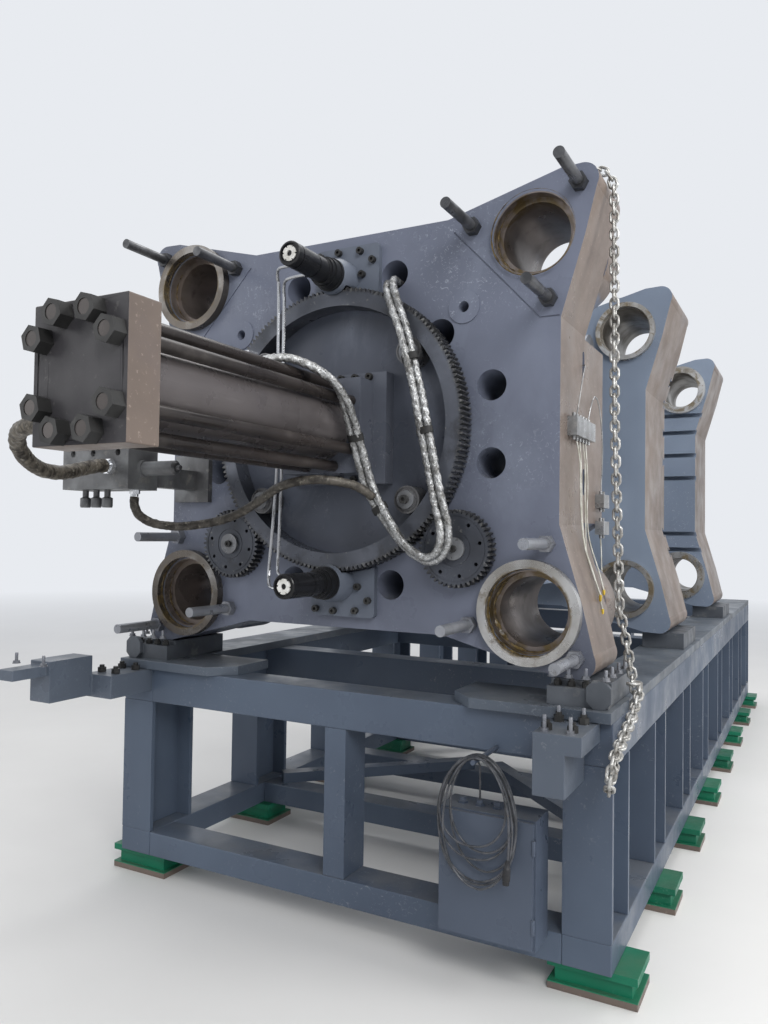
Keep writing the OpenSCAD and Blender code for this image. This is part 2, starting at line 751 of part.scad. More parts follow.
module cylinder_tie_rods() color("#3a3735") at_tail() for (p = rod_places)
    bar_y(p[0], block_y - nut_h + 2, p[1], rod_r, flange_front + flange_t - block_y + nut_h - 2);

module cylinder_nuts() color("#2c2c2d") at_tail() for (p = rod_places) difference() {
    nut_y(p[0], block_y - nut_h, p[1], nut_af, nut_h, 15);
    bar_y(p[0], block_y - nut_h - 1, p[1], rod_r + pin_clear, nut_h + 2);
}

// Turns a flat outline in Y and Z into a slab from x to x + t
module side_slab(x, t) translate([x, 0, 0]) rotate([90, 0, 90]) linear_extrude(t) children();

// Outline of a link between two eyes
waist_share = 0.8;
module link_outline(a, b, r) {
    for (p = [a, b]) translate(p) circle(r);
    translate(a) rotate(atan2(b[1] - a[1], b[0] - a[0])) translate([0, -r * waist_share])
        square([norm(b - a), 2 * r * waist_share]);
}

module eye_holes(places, r) for (p = places) translate(p) circle(r + pin_clear);

// Rear links, with an ear for the crosshead's link
link_r = 105;
ear_r = 60;
small_pin_r = 32;
tail_pin = [tail_pin_y, tail_pin_z];
knee_pin = [knee_y, knee_z];
moving_pin = [moving_pin_y, moving_pin_z];
ear_pin = tail_pin * 0.45 + knee_pin * 0.55 + [-80, -84];
module rear_link() side_slab(-link_t / 2, link_t) difference() {
    union() {
        link_outline(tail_pin, knee_pin, link_r);
        link_outline(ear_pin, (tail_pin + knee_pin) / 2, ear_r);
    }
    eye_holes([tail_pin, knee_pin], pin_r);
    eye_holes([ear_pin], small_pin_r);
}

// Front links, two plates each
module front_link() for (x = [link_face, -link_face - lug_t]) side_slab(x, lug_t) difference() {
    link_outline(knee_pin, moving_pin, link_r);
    eye_holes([knee_pin, moving_pin], pin_r);
}

module each_link() at_tail() for (s = [-1, 1], sz = [0, 1])
    mirror([0, 0, sz]) translate([s * link_x, 0, 0]) children();

module toggle_rear_links() color("#5d6266") each_link() rear_link();
module toggle_front_links() color("#666b6f") each_link() front_link();

pin_l = link_t + 2 * lug_t + 2 * lug_gap + 20;
module toggle_pins() color("#85898c") each_link() {
    for (p = [tail_pin, knee_pin, moving_pin]) bar_x_axis(-pin_l / 2, p[0], p[1], pin_r, pin_l);
    bar_x_axis(-small_pin_l / 2, ear_pin[0], ear_pin[1], small_pin_r, small_pin_l);
}

// Crosshead on the piston rod, with the short links to the rear links' ears
short_t = 40;
head_pin = [tail_t + 250, 84];
cross_half = link_x - link_face - short_t - lug_gap;
small_pin_l = 2 * (link_face + short_t) + 16;
module crosshead_links() color("#666b6f") each_link() for (x = [link_face, -link_face - short_t])
    side_slab(x, short_t) difference() {
        link_outline(head_pin, ear_pin, ear_r - 6);
        eye_holes([head_pin, ear_pin], small_pin_r);
    }

piston_rod_r = 60;
cross_t = 180;
cross_z = head_pin[1] + 60;
cross_y = tail_t + 130;
cross_relief = 34;
module crosshead() color("#5a5f63") at_tail() {
    difference() {
        block([-cross_half, cross_y, -cross_z], [2 * cross_half, cross_t, 2 * cross_z]);
        for (s = [-1, 1])
            block([s * cross_half / 2 - 90, cross_y + cross_t - cross_relief, -cross_z / 2],
                [180, cross_relief + 1, cross_z]);
    }
    for (s = [-1, 1]) bar_x_axis(-cross_half - small_pin_l - 10, head_pin[0], s * head_pin[1],
        small_pin_r, 2 * (cross_half + small_pin_l + 10));
    bar_y(0, pin_clear, 0, piston_rod_r, cross_y - pin_clear);
}

// Socket-head cap screw that stands out along -Y, its head on the plane y
module cap_screw(x, y, z, r, h) difference() {
    bar_y(x, y - h, z, r, h);
    translate([x, y - h, z]) rotate([-90, 0, 0]) translate([0, 0, -1])
        cylinder(r = r / 2, h = h / 2 + 1, $fn = 6);
}

// Hexagon bolt that stands up on the plane z
module hex_bolt(x, y, z, af, h) translate([x, y, z]) {
    cylinder(d = af / cos(30), h = h, $fn = 6);
    translate([0, 0, h]) cylinder(r = af / 3, h = h / 2);
}

// Places of the screws on the drive housings, the cylinder's foot, the rollers and the base
housing_screws = [[82, 680], [-13, 685], [92, 590], [-92, 680], [136, 640]];
foot_screw_x = [-150, -90, -30, 30, 90, 150];
foot_screw_z = 190;
screw_r = 13;
screw_h = 18;
arm_screws = [[-side_x + 40, 60], [-side_x + 118, 60], [-side_x + 40, 170], [-side_x + 118, 170],
    [side_x - 160, 50], [side_x - 80, 50], [side_x - 160, 180], [side_x - 80, 180]];
shoe_screws = [-70, -24, 24, 70];
module cap_screws() color("#26282a") {
    at_tail() {
        for (p = housing_screws, s = [0, 1]) mirror([0, 0, s])
            cap_screw(p[0], -drive_plate_t, p[1], screw_r, screw_h);
        for (x = foot_screw_x, s = [-1, 1]) cap_screw(x, -foot_t, s * foot_screw_z, screw_r, screw_h);
    }
    for (i = [0 : 3]) roller_at(i)
        cap_screw(0, -ring_front - axle_gap - roller_cap_t, 0, screw_r + 3, screw_h);
    for (s = [-1, 1]) idler_at(s) cap_screw(0, -idler_front - axle_gap - idler_cap_t, 0, screw_r, 10);
    for (p = arm_screws) hex_bolt(p[0], base_front - p[1], arm_z, 30, 20);
    for (s = [-1, 1], x = shoe_screws)
        hex_bolt(s * way_x + x, tail_y - 25, way_top + ledge_h, 24, 16);
}

// Valve block on a bracket at the tail platen's left side
valve_x = [-790, -470];
valve_y = [-640, -500];
valve_z = [-248, -91];
valve_plate = [-820, -640];
bracket_x = [-760, -700];
knob_r = 17;
knob_h = 62;
knobs = [-750, -695, -640];
solenoid_r = 25;
solenoid_l = 150;
solenoid_z = -175;
module valve_block() color("#5b5f62") at_tail() {
    block([valve_plate[0], -drive_plate_t, valve_z[0] - 20],
        [valve_plate[1] - valve_plate[0], drive_plate_t, valve_z[1] - valve_z[0] + 40]);
    block([bracket_x[0], valve_y[1], valve_z[0] + 30],
        [bracket_x[1] - bracket_x[0], -valve_y[1] - drive_plate_t, 80]);
    difference() {
        block([valve_x[0], valve_y[0], valve_z[0]],
            [valve_x[1] - valve_x[0], valve_y[1] - valve_y[0], valve_z[1] - valve_z[0]]);
        for (x = [-740, -640, -520])
            bar_y(x, valve_y[0] - 1, valve_z[1] - 30, 12, 16);
    }
    block([valve_x[0] + 20, valve_y[0] + 15, valve_z[1]], [150, 110, 40]);
    for (x = knobs) translate([x, (valve_y[0] + valve_y[1]) / 2, valve_z[0] - knob_h]) rotate_extrude()
        polygon([[0, 0], [knob_r, 0], [knob_r + 2, 6], [knob_r + 2, 34], [knob_r - 6, 38],
            [knob_r - 6, knob_h], [0, knob_h]]);
    translate([valve_x[1], (valve_y[0] + valve_y[1]) / 2, solenoid_z]) rotate([0, 90, 0]) rotate_extrude()
        polygon([[0, 0], [solenoid_r + 6, 0], [solenoid_r + 6, 14], [solenoid_r, 14],
            [solenoid_r, solenoid_l], [solenoid_r - 8, solenoid_l + 6], [8, solenoid_l + 6],
            [8, solenoid_l + 22], [0, solenoid_l + 22]]);
}

// Smooth route through hand-set points, and a tube swept along it
function unit(v) = v / norm(v);
function spot(p, i) = p[max(0, min(len(p) - 1, i))];
function between(p, i, t) = let (a = spot(p, i - 1), b = spot(p, i), c = spot(p, i + 1), d = spot(p, i + 2))
    0.5 * (2 * b + (c - a) * t + (2 * a - 5 * b + 4 * c - d) * t * t
        + (3 * b - a - 3 * c + d) * t * t * t);
function route(p, n) = concat([for (i = [0 : len(p) - 2], j = [0 : n - 1]) between(p, i, j / n)],
    [p[len(p) - 1]]);
function heading(q, i) = unit(spot(q, i + 1) - spot(q, i - 1));
function sides(q, i, last, done) = i >= len(q) ? done :
    let (t = heading(q, i), u = unit(last - t * (last * t))) sides(q, i + 1, u, concat(done, [u]));

module tube(points, r, steps, around = 12) {
    q = route(points, steps);
    t0 = heading(q, 0);
    u = sides(q, 0, abs(t0[2]) < 0.9 ? [0, 0, 1] : [1, 0, 0], []);
    n = len(q);
    polyhedron(
        [for (i = [0 : n - 1], k = [0 : around - 1]) let (v = cross(heading(q, i), u[i]), a = k * 360 / around)
            q[i] + r * (cos(a) * u[i] + sin(a) * v)],
        concat([[for (k = [0 : around - 1]) k]],
            [for (i = [0 : n - 2], k = [0 : around - 1]) let (m = (k + 1) % around)
                [i * around + k, (i + 1) * around + k, (i + 1) * around + m, i * around + m]],
            [[for (k = [around - 1 : -1 : 0]) (n - 1) * around + k]]));
}

// Block on the barrel that takes the end of the foil-wrapped hose
hose_block = [48, 46, 60];
hose_block_y = -578;

// Foil-wrapped hose from the upper right hole down to the idler and back over the tie rods
foil_points = [[215, 160, 543.5], [215, 60, 543.5], [217, 0, 543.5], [226, -50, 538], [245, -95, 500],
    [280, -125, 430], [320, -132, 330], [352, -134, 220], [385, -134, 90], [410, -134, -30],
    [437, -134, -150], [463, -134, -270], [484, -132, -350], [488, -132, -410], [470, -132, -457],
    [430, -132, -478], [385, -134, -462], [330, -138, -420], [265, -145, -330], [215, -155, -245],
    [190, -175, -150], [178, -205, -60], [176, -245, 10], [178, -290, 70], [164, -335, 122],
    [135, -372, 153], [98, -410, 177], [58, -455, 191],
    [20, -505, 181], [4, -542, 164], [0, -562, 159], [0, hose_block_y + 0.3, 158]];
module foil_hose() color("#b9bcbd") at_tail() tube(foil_points, foil_hose_r, 2);

// Branch from the foil hose under the tie rods to the valve block
branch_points = [[236, -185, -262], [222, -222, -240], [195, -262, -222], [150, -305, -212], [90, -335, -208],
    [20, -345, -215], [-60, -340, -235], [-142, -325, -275], [-225, -325, -318], [-305, -338, -348],
    [-380, -375, -366], [-440, -434, -374], [-484, -502, -364], [-504, -550, -336], [-508, -569, -302],
    [-508, -570, -272.3]];
module branch_hose() color("#6d6a66") at_tail() tube(branch_points, branch_hose_r, 3);

// Hose from the end block to the front of the valve block
end_hose_points = [[-192, -1215, -115], [-235, -1213, -114], [-300, -1198, -120], [-365, -1160, -138],
    [-415, -1110, -165], [-450, -1050, -192], [-478, -985, -208], [-500, -915, -212], [-518, -850, -205],
    [-534, -790, -192], [-546, -735, -180], [-552, -695, -172], [-554, -667, -170]];
module end_hose() color("#57524c") at_tail() tube(end_hose_points, end_hose_r, 3);

// Steel pipes between the two motors, and the fittings at the ends of pipes and hoses
pipe_end_x = port_x - 0.3;
pipe_outer = [[pipe_end_x, pipe_y, pipe_far_z], [-110, pipe_y, pipe_far_z], [-165, -200, 600],
    [-192, -180, 592], [-204, -160, 570], [-206, -150, 530], [-204, -150, 240], [-200, -150, -150], [-224, -150, -470],
    [-229, -150, -535], [-222, -160, -572], [-198, -185, -594], [-150, -203, -600],
    [-100, pipe_y, -pipe_far_z], [pipe_end_x, pipe_y, -pipe_far_z]];
pipe_inner = [[pipe_end_x, pipe_y, pipe_near_z], [-90, pipe_y, pipe_near_z], [-135, -200, 552],
    [-160, -180, 543], [-176, -160, 522], [-180, -150, 490], [-180, -150, 240], [-178, -150, -150],
    [-186, -150, -440], [-188, -150, -490], [-182, -160, -522], [-160, -185, -544], [-125, -203, -556],
    [-84, pipe_y, -pipe_near_z], [pipe_end_x, pipe_y, -pipe_near_z]];
module port(x, y, z, r, l) translate([x, y, z]) {
    cylinder(d = 2 * r / cos(30), h = l * 0.6, $fn = 6);
    cylinder(r = r * 0.8, h = l);
}

module steel_pipes() color("#b4b8ba") at_tail() {
    tube(pipe_outer, pipe_r, 2, 8);
    tube(pipe_inner, pipe_r, 2, 8);
    translate([-block_w / 2, -1215, -115]) rotate([0, -90, 0]) port(0, 0, 0, end_hose_r, 27);
    translate([-554, valve_y[0], -170]) rotate([90, 0, 0]) port(0, 0, 0, end_hose_r, 27);
    translate([-508, -570, valve_z[0]]) rotate([180, 0, 0]) port(0, 0, 0, branch_hose_r, 24);
    block([-hose_block[0] / 2, hose_block_y - hose_block[1], barrel_r + 0.3], hose_block);
}

// Lubrication blocks and lines on the right side of the tail platen
line_r = 2.5;
lube_blocks = [[90, -40, 260, 66], [490, -278, 90, 52], [490, -382, 90, 52]];
lube_t = 34;
lube_x = waist_x + lube_t / 2;
port_l = 14;
module lube_line(p) tube(p, line_r, 2, 8);

line_up = [[lube_x, 150, 40], [lube_x + 8, 152, 90], [lube_x + 10, 175, 150], [lube_x + 6, 218, 200],
    [lube_x - 1, 262, 229], [lube_x - 9, 287, 238], [lube_x - 24, 299, 241], [lube_x - 42, 301, 241]];
line_across = [[lube_x, 310, 40], [lube_x + 6, 322, 90], [lube_x + 8, 370, 135],
    [lube_x + 8, 440, 110], [lube_x + 8, 490, 10], [lube_x + 6, 508, -90], [lube_x, 510, -212]];
line_loose_1 = [[lube_x, 190, -54], [lube_x + 5, 191, -130], [lube_x + 6, 198, -220], [lube_x + 7, 206, -320],
    [lube_x + 15, 212, -420], [lube_x + 46, 216, -520], [lube_x + 70, 218, -600]];
line_loose_2 = [[lube_x, 510, -396], [lube_x + 4, 509, -450], [lube_x + 8, 500, -520], [lube_x + 22, 488, -590],
    [lube_x + 34, 484, -650], [lube_x + 40, 482, -710]];
module lubrication() color("#8e9496") at_tail() {
    for (b = lube_blocks) {
        block([waist_x, b[0], b[1]], [lube_t, b[2], b[3]]);
        for (i = [0 : floor((b[2] - 40) / 40)], low = [0, 1])
            translate([lube_x, b[0] + 20 + i * 40, low > 0 ? b[1] - port_l : b[1] + b[3]])
                cylinder(r = 6, h = port_l);
    }
    lube_line(line_up);
    lube_line(line_across);
}

module loose_line(p) {
    lube_line(p);
    translate(p[len(p) - 1]) translate([0, 0, -18]) cylinder(r = 5, h = 18);
}

module loose_line_1() color("#d8dcd8") at_tail() loose_line(line_loose_1);
module loose_line_2() color("#d8dcd8") at_tail() loose_line(line_loose_2);

// Box for electrical terminals on the front of the base, with its lid, hinges and glands
box_w = 330;
box_h = 405;
box_d = 140;
box_x = side_x - 536;
box_z = 180;
lid_t = 12;
lid_rim = 6;
hinge_r = 7;
hinge_l = 46;
peg_r = 8;
peg_l = 215;
module junction_box() color("#46505a") {
    front = base_front - box_d;
    block([box_x, front + lid_t, box_z], [box_w, box_d - lid_t, box_h]);
    block([box_x + lid_rim, front, box_z + lid_rim], [box_w - 2 * lid_rim, lid_t, box_h - 2 * lid_rim]);
    for (z = [0.2, 0.8])
        translate([box_x + box_w - lid_rim, front + 3, box_z + z * box_h - hinge_l / 2])
            cylinder(r = hinge_r, h = hinge_l);
    for (x = [60, 120, 180]) translate([box_x + x, front + box_d / 2, box_z + box_h]) {
        cylinder(d = 36, h = 8, $fn = 6);
        cylinder(r = 12, h = 20);
    }
    translate([hank_x, base_front - peg_l, peg_z]) rotate([-90, 0, 0]) cylinder(r = peg_r, h = peg_l);
}

// Hank of cable that hangs on the peg in front of the box
hank_x = box_x + 150;
hank_z = 615;
hank_r = 165;
hank_half = 50;
hank_w = 60;
hank_t = 48;
peg_z = hank_z + hank_half + hank_r - hank_w - peg_r - 0.3;
module hank_outline(r) {
    for (s = [-1, 1]) translate([0, s * hank_half]) circle(r);
    square([2 * r, 2 * hank_half], center = true);
}

module cable_hank() color("#3a3d40")
    translate([hank_x, base_front - box_d - hank_t - 0.3, hank_z]) slab(0, hank_t) difference() {
        hank_outline(hank_r);
        hank_outline(hank_r - hank_w);
    }

// Joints of a chain laid along a route, one pitch apart
function chain_walk(q, i, c, done) = i >= len(q) ? done : norm(q[i] - c) < chain_pitch ?
    chain_walk(q, i + 1, c, done) :
    let (d = c + (q[i] - c) * chain_pitch / norm(q[i] - c)) chain_walk(q, i, d, concat(done, [d]));
function chain_joints(q) = chain_walk(q, 0, q[0], [q[0]]);

// One chain link between the joints a and b, its flat side square to n
link_gap = 0.3;
link_half_w = 1.25 * chain_wire;
link_half_l = (chain_pitch + chain_wire + link_gap) / 2 - link_half_w;
module chain_link(a, b, n) {
    d = unit(b - a);
    theta = acos(d[2]);
    phi = atan2(d[1], d[0]);
    e1 = [cos(theta) * cos(phi), cos(theta) * sin(phi), -sin(theta)];
    e2 = [-sin(phi), cos(phi), 0];
    translate((a + b) / 2) rotate([0, theta, phi]) rotate([0, 0, atan2(n * e2, n * e1)]) {
        for (s = [0, 1]) mirror([0, s, 0])
            translate([0, link_half_w, -link_half_l]) cylinder(d = chain_wire, h = 2 * link_half_l, $fn = 24);
        for (s = [0, 1]) mirror([0, 0, s]) translate([0, 0, link_half_l]) rotate([90, 0, 90])
            rotate_extrude(angle = 180, $fn = 24) translate([link_half_w, 0]) circle(d = chain_wire, $fn = 24);
    }
}

// Links from the joint k0 to the joint k1 of the joints j
module chain_run(j, ref, first, k0, k1) for (k = [k0 : k1 - 1]) {
    d = unit(j[k + 1] - j[k]);
    n = unit(ref - d * (ref * d));
    chain_link(j[k], j[k + 1], (k + first) % 2 == 0 ? n : cross(d, n));
}

// Chain over the top of the tail platen, down its right side and in a loop over the way's edge
chain_y = 120;
chain_off = chain_wire * 1.75 + 0.4;
corner_mid = [lobe_x - corner_r, lobe_z - corner_r];
over_x = max(side_x, lobe_x + 54) + chain_off;
out_x = over_x + 2 * chain_off;
chain_top = concat([[-420, chain_y, waist_z + chain_off], [lobe_start_x - 6, chain_y, waist_z + chain_off]],
    [[lobe_x - lobe_end_x - 5, chain_y, lobe_z + chain_off - 1]],
    [for (a = [90 : -15 : 0]) let (r = corner_r + chain_off + 6)
        [corner_mid[0] + r * cos(a), chain_y, corner_mid[1] + r * sin(a)]],
    [[lobe_x + 30, chain_y, 0], [lobe_x + 50, chain_y, -640]]);
joints_top = chain_joints(chain_top);
chain_end = joints_top[len(joints_top) - 1];
chain_low = concat([chain_end], route([[over_x - 18, 125, -740], [over_x - 6, 150, -840], [over_x, 185, -930],
    [over_x, 170, -990], [over_x, 80, -1020], [over_x, -20, -1050], [over_x, -120, -1085],
    [over_x + 4, -200, -1115], [over_x + 14, -260, -1128], [over_x + 26, -310, -1112],
    [out_x, -335, -1075], [out_x, -310, -1030], [out_x, -240, -1000], [out_x, -140, -975],
    [out_x, -40, -945], [out_x, 50, -910], [out_x, 110, -870]], 4));
joints_low = chain_joints(chain_low);
top_count = len(joints_top) - 1;
top_half = floor(top_count / 2);
low_count = len(joints_low) - 1;

module chain_over() color("#a9adb0") at_tail() chain_run(joints_top, [0, 1, 0], 0, 0, top_half);
module chain_hanging() color("#a9adb0") at_tail() chain_run(joints_top, [0, 1, 0], 0, top_half, top_count);

// The loop, with the grab hook that holds the chain's loose end to its hanging run
hook_wire = 6;
hook_ring_r = chain_off + hook_wire;
module chain_loop() color("#a9adb0") at_tail() {
    chain_run(joints_low, [1, 0, 0], (top_count + 1) % 2, 0, low_count);
    last = joints_low[low_count];
    translate([last[0] - hook_ring_r, last[1], last[2] + chain_wire]) rotate(-130)
        rotate_extrude(angle = 250) translate([hook_ring_r, 0]) circle(hook_wire);
}

base_columns();
base_end_beams();
base_side_rails();
base_sills();
base_cross_beams();
base_braces();
corner_plates();
slide_ways();
corner_arms();
levelling_mounts();
tail_platen();
moving_platen();
fixed_platen();
platen_shoes();
bore_rings();
clamp_studs();
stud_nuts();
ring_gear();
idler_right();
idler_left();
pinion_top();
pinion_bottom();
roller_1();
roller_2();
roller_3();
roller_4();
gear_axles();
drive_brackets();
drive_motors();
cylinder_foot();
cylinder_barrel();
cylinder_end_block();
cylinder_tie_rods();
cylinder_nuts();
toggle_lugs();
toggle_rear_links();
toggle_front_links();
toggle_pins();
crosshead_links();
crosshead();
cap_screws();
valve_block();
foil_hose();
branch_hose();
end_hose();
steel_pipes();
lubrication();
loose_line_1();
loose_line_2();
junction_box();
cable_hank();
chain_over();
chain_hanging();
chain_loop();
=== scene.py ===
import bpy
import bmesh
import math
import random
from mathutils import Matrix, Vector, noise


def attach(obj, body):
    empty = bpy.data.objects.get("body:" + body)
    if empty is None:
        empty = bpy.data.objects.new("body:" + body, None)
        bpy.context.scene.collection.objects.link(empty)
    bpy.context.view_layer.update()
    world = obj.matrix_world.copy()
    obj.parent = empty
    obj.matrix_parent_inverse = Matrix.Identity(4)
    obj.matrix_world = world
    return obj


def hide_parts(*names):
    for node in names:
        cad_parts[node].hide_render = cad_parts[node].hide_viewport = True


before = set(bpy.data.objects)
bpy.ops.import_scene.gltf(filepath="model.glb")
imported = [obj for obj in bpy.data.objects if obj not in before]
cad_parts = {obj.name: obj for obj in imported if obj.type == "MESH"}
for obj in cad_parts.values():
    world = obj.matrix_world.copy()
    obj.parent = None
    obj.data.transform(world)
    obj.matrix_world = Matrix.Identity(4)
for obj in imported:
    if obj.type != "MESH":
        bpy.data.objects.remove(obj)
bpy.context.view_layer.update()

# Places on the machine, in metres; heights of bores and gears count from the clamping axis
TAIL_Y = -2.0315
AXIS_Z = 1.865
BORE_X, BORE_Z = 0.75, 0.65
IDLER_X, IDLER_Z = 0.49279, -0.43905
PINION_Z = 0.576
BASE_FRONT_Y = -2.0965


# ---- Camera
CAMERA_PLACE = (1.6207, -4.7166, 1.4739)
CAMERA_YAW, CAMERA_PITCH, CAMERA_ROLL = 28.16, 1.547, 0.81
CAMERA_LENS = 28.69


def set_camera():
    """The camera at eye height, off the front right corner of the base."""
    yaw, pitch, roll = (math.radians(a) for a in (CAMERA_YAW, CAMERA_PITCH, CAMERA_ROLL))
    ahead = Vector((-math.sin(yaw) * math.cos(pitch), math.cos(yaw) * math.cos(pitch), math.sin(pitch)))
    right = Vector((math.cos(yaw), math.sin(yaw), 0))
    up = right.cross(ahead)
    side = math.cos(roll) * right + math.sin(roll) * up
    top = math.cos(roll) * up - math.sin(roll) * right
    camera = bpy.data.objects.new("camera", bpy.data.cameras.new("camera"))
    bpy.context.scene.collection.objects.link(camera)
    camera.data.lens = CAMERA_LENS
    camera.data.sensor_width = 36
    camera.data.clip_end = 200
    camera.matrix_world = Matrix.Translation(CAMERA_PLACE) @ Matrix(
        (side, top, -ahead)).transposed().to_4x4()
    bpy.context.scene.camera = camera


set_camera()


# ---- Finishes
def srgb(r, g, b):
    """A colour from 0 to 255 as Blender's linear one."""
    return tuple(((c / 255 + 0.055) / 1.055) ** 2.4 for c in (r, g, b)) + (1.0,)


class Finish:
    """A material whose patterns are read in the machine's own coordinates."""

    def __init__(self, name, metallic=0.0, rough=0.5):
        self.material = bpy.data.materials.new(name)
        self.material.use_nodes = True
        tree = self.material.node_tree
        self.nodes, self.links = tree.nodes, tree.links
        self.shader = self.nodes["Principled BSDF"]
        self.shader.inputs["Metallic"].default_value = metallic
        self.shader.inputs["Roughness"].default_value = rough
        self.shader.inputs["Specular IOR Level"].default_value = 0.5 if metallic > 0.3 else 0.28
        self.place = self.nodes.new("ShaderNodeTexCoord").outputs["Object"]
        self.x, self.y, self.z = self.split(self.place)
        self.facing = self.split(self.nodes.new("ShaderNodeNewGeometry").outputs["Normal"])

    def put(self, socket, value):
        if isinstance(value, bpy.types.NodeSocket):
            self.links.new(value, socket)
        else:
            socket.default_value = value

    def split(self, vector):
        parts = self.nodes.new("ShaderNodeSeparateXYZ")
        self.links.new(vector, parts.inputs[0])
        return parts.outputs[0], parts.outputs[1], parts.outputs[2]

    def calc(self, work, a, b=0.0):
        node = self.nodes.new("ShaderNodeMath")
        node.operation = work
        self.put(node.inputs[0], a)
        self.put(node.inputs[1], b)
        return node.outputs[0]

    def step(self, value, low, high, start=0.0, end=1.0):
        node = self.nodes.new("ShaderNodeMapRange")
        self.put(node.inputs[0], value)
        for socket, number in zip(node.inputs[1:5], (low, high, start, end)):
            socket.default_value = number
        return node.outputs[0]

    def stretched(self, size, turn=(0, 0, 0)):
        node = self.nodes.new("ShaderNodeMapping")
        self.links.new(self.place, node.inputs[0])
        node.inputs["Scale"].default_value = size
        node.inputs["Rotation"].default_value = turn
        return node.outputs[0]

    def grain(self, scale, detail=4.0, rough=0.55, size=None, turn=(0, 0, 0), swirl=0.0):
        node = self.nodes.new("ShaderNodeTexNoise")
        self.links.new(self.stretched(size, turn) if size else self.place, node.inputs["Vector"])
        for key, number in (("Scale", scale), ("Detail", detail), ("Roughness", rough),
                            ("Distortion", swirl)):
            node.inputs[key].default_value = number
        return node.outputs[0]

    def cells(self, scale, size=None):
        node = self.nodes.new("ShaderNodeTexVoronoi")
        self.links.new(self.stretched(size) if size else self.place, node.inputs["Vector"])
        node.inputs["Scale"].default_value = scale
        return node.outputs[0]

    def over(self, share, under, top):
        node = self.nodes.new("ShaderNodeMix")
        node.data_type = "RGBA"
        self.put(node.inputs[0], share)
        self.put(node.inputs[6], under)
        self.put(node.inputs[7], top)
        return node.outputs[2]

    def length(self, a, b):
        """Length of the flat vector (a, b)."""
        squares = self.calc("MULTIPLY", a, a), self.calc("MULTIPLY", b, b)
        return self.calc("SQRT", self.calc("ADD", *squares))

    def from_axis(self, across=0.0, up=0.0):
        """Distance from a line along Y, placed from the clamping axis."""
        dz = self.calc("SUBTRACT", self.z, AXIS_Z + up)
        return self.length(self.calc("SUBTRACT", self.x, across), dz)

    def from_bores(self):
        """Distance from the axis of the nearest tie bar bore."""
        dx = self.calc("SUBTRACT", self.calc("ABSOLUTE", self.x), BORE_X)
        dz = self.calc("ABSOLUTE", self.calc("SUBTRACT", self.z, AXIS_Z))
        return self.length(dx, self.calc("SUBTRACT", dz, BORE_Z))

    def colour(self, value):
        self.put(self.shader.inputs["Base Color"], value)

    def roughness(self, value, low, high, start=0.35, end=0.65):
        self.put(self.shader.inputs["Roughness"], self.step(value, start, end, low, high))

    def bump(self, *layers):
        """Layers of (height, strength, depth in metres), the first one lowest."""
        under = None
        for height, strength, depth in layers:
            node = self.nodes.new("ShaderNodeBump")
            node.inputs["Strength"].default_value = strength
            node.inputs["Distance"].default_value = depth
            self.put(node.inputs["Height"], height)
            if under:
                self.links.new(under, node.inputs["Normal"])
            under = node.outputs[0]
        self.links.new(under, self.shader.inputs["Normal"])


def paint_coat(f, main, shade, scuff, dust, scuffs=0.6, dusty=0.4):
    """Sprayed paint: slow clouds, faint runs, patches of white scuffs, and dust on top faces."""
    colour = f.over(f.step(f.grain(0.9, 4), 0.34, 0.66), main, shade)
    colour = f.over(f.step(f.grain(3.6, 4, size=(1, 1, 0.12)), 0.5, 0.8, 0, 0.4), colour, shade)
    marks = f.step(f.grain(52, 6, 0.74, swirl=1.6), scuffs, scuffs + 0.03, 0, 0.4)
    patches = f.step(f.grain(1.9, 3), 0.48, 0.62)
    colour = f.over(f.calc("MULTIPLY", marks, patches), colour, scuff)
    lying = f.calc("MULTIPLY", f.step(f.facing[2], 0.55, 0.95, 0, dusty), f.step(f.grain(7, 5), 0.3, 0.62))
    return f.over(lying, colour, dust)


def paint(name, main, shade, scuff=srgb(150, 155, 162), dust=srgb(118, 118, 116), rough=0.36,
          scuffs=0.6):
    """Plain sprayed paint on frames, housings and boxes."""
    f = Finish(name, rough=rough)
    f.colour(paint_coat(f, main, shade, scuff, dust, scuffs))
    f.roughness(f.grain(5, 5), rough - 0.1, rough + 0.16)
    f.bump((f.grain(9, 3), 0.1, 0.002), (f.grain(240, 3), 0.22, 0.0004))
    return f.material


BARE = srgb(150, 150, 148)
OIL = srgb(30, 27, 23)
GREASE = srgb(96, 82, 54)


def primer(f):
    """Smooth red-brown primer with grey runs, as on the platens' cut sides."""
    brown = f.over(f.step(f.grain(1.6, 4, 0.6), 0.36, 0.64), srgb(118, 106, 98), srgb(98, 88, 82))
    brown = f.over(f.step(f.grain(5, 5, 0.6), 0.52, 0.72, 0, 0.45), brown, srgb(92, 84, 84))
    return f.over(f.step(f.grain(60, 5, 0.7), 0.6, 0.68, 0, 0.35), brown, srgb(176, 160, 150))


def cut_sides(f):
    """Share of primer: one on the outer sides, nought on faces and in holes."""
    ragged = f.step(f.grain(16, 4), 0.3, 0.7, -0.06, 0.06)
    edge = f.calc("ADD", f.calc("ABSOLUTE", f.facing[0]), ragged)
    return f.calc("MULTIPLY", f.step(edge, 0.66, 0.74), f.step(f.calc("ABSOLUTE", f.x), 0.8, 0.81))


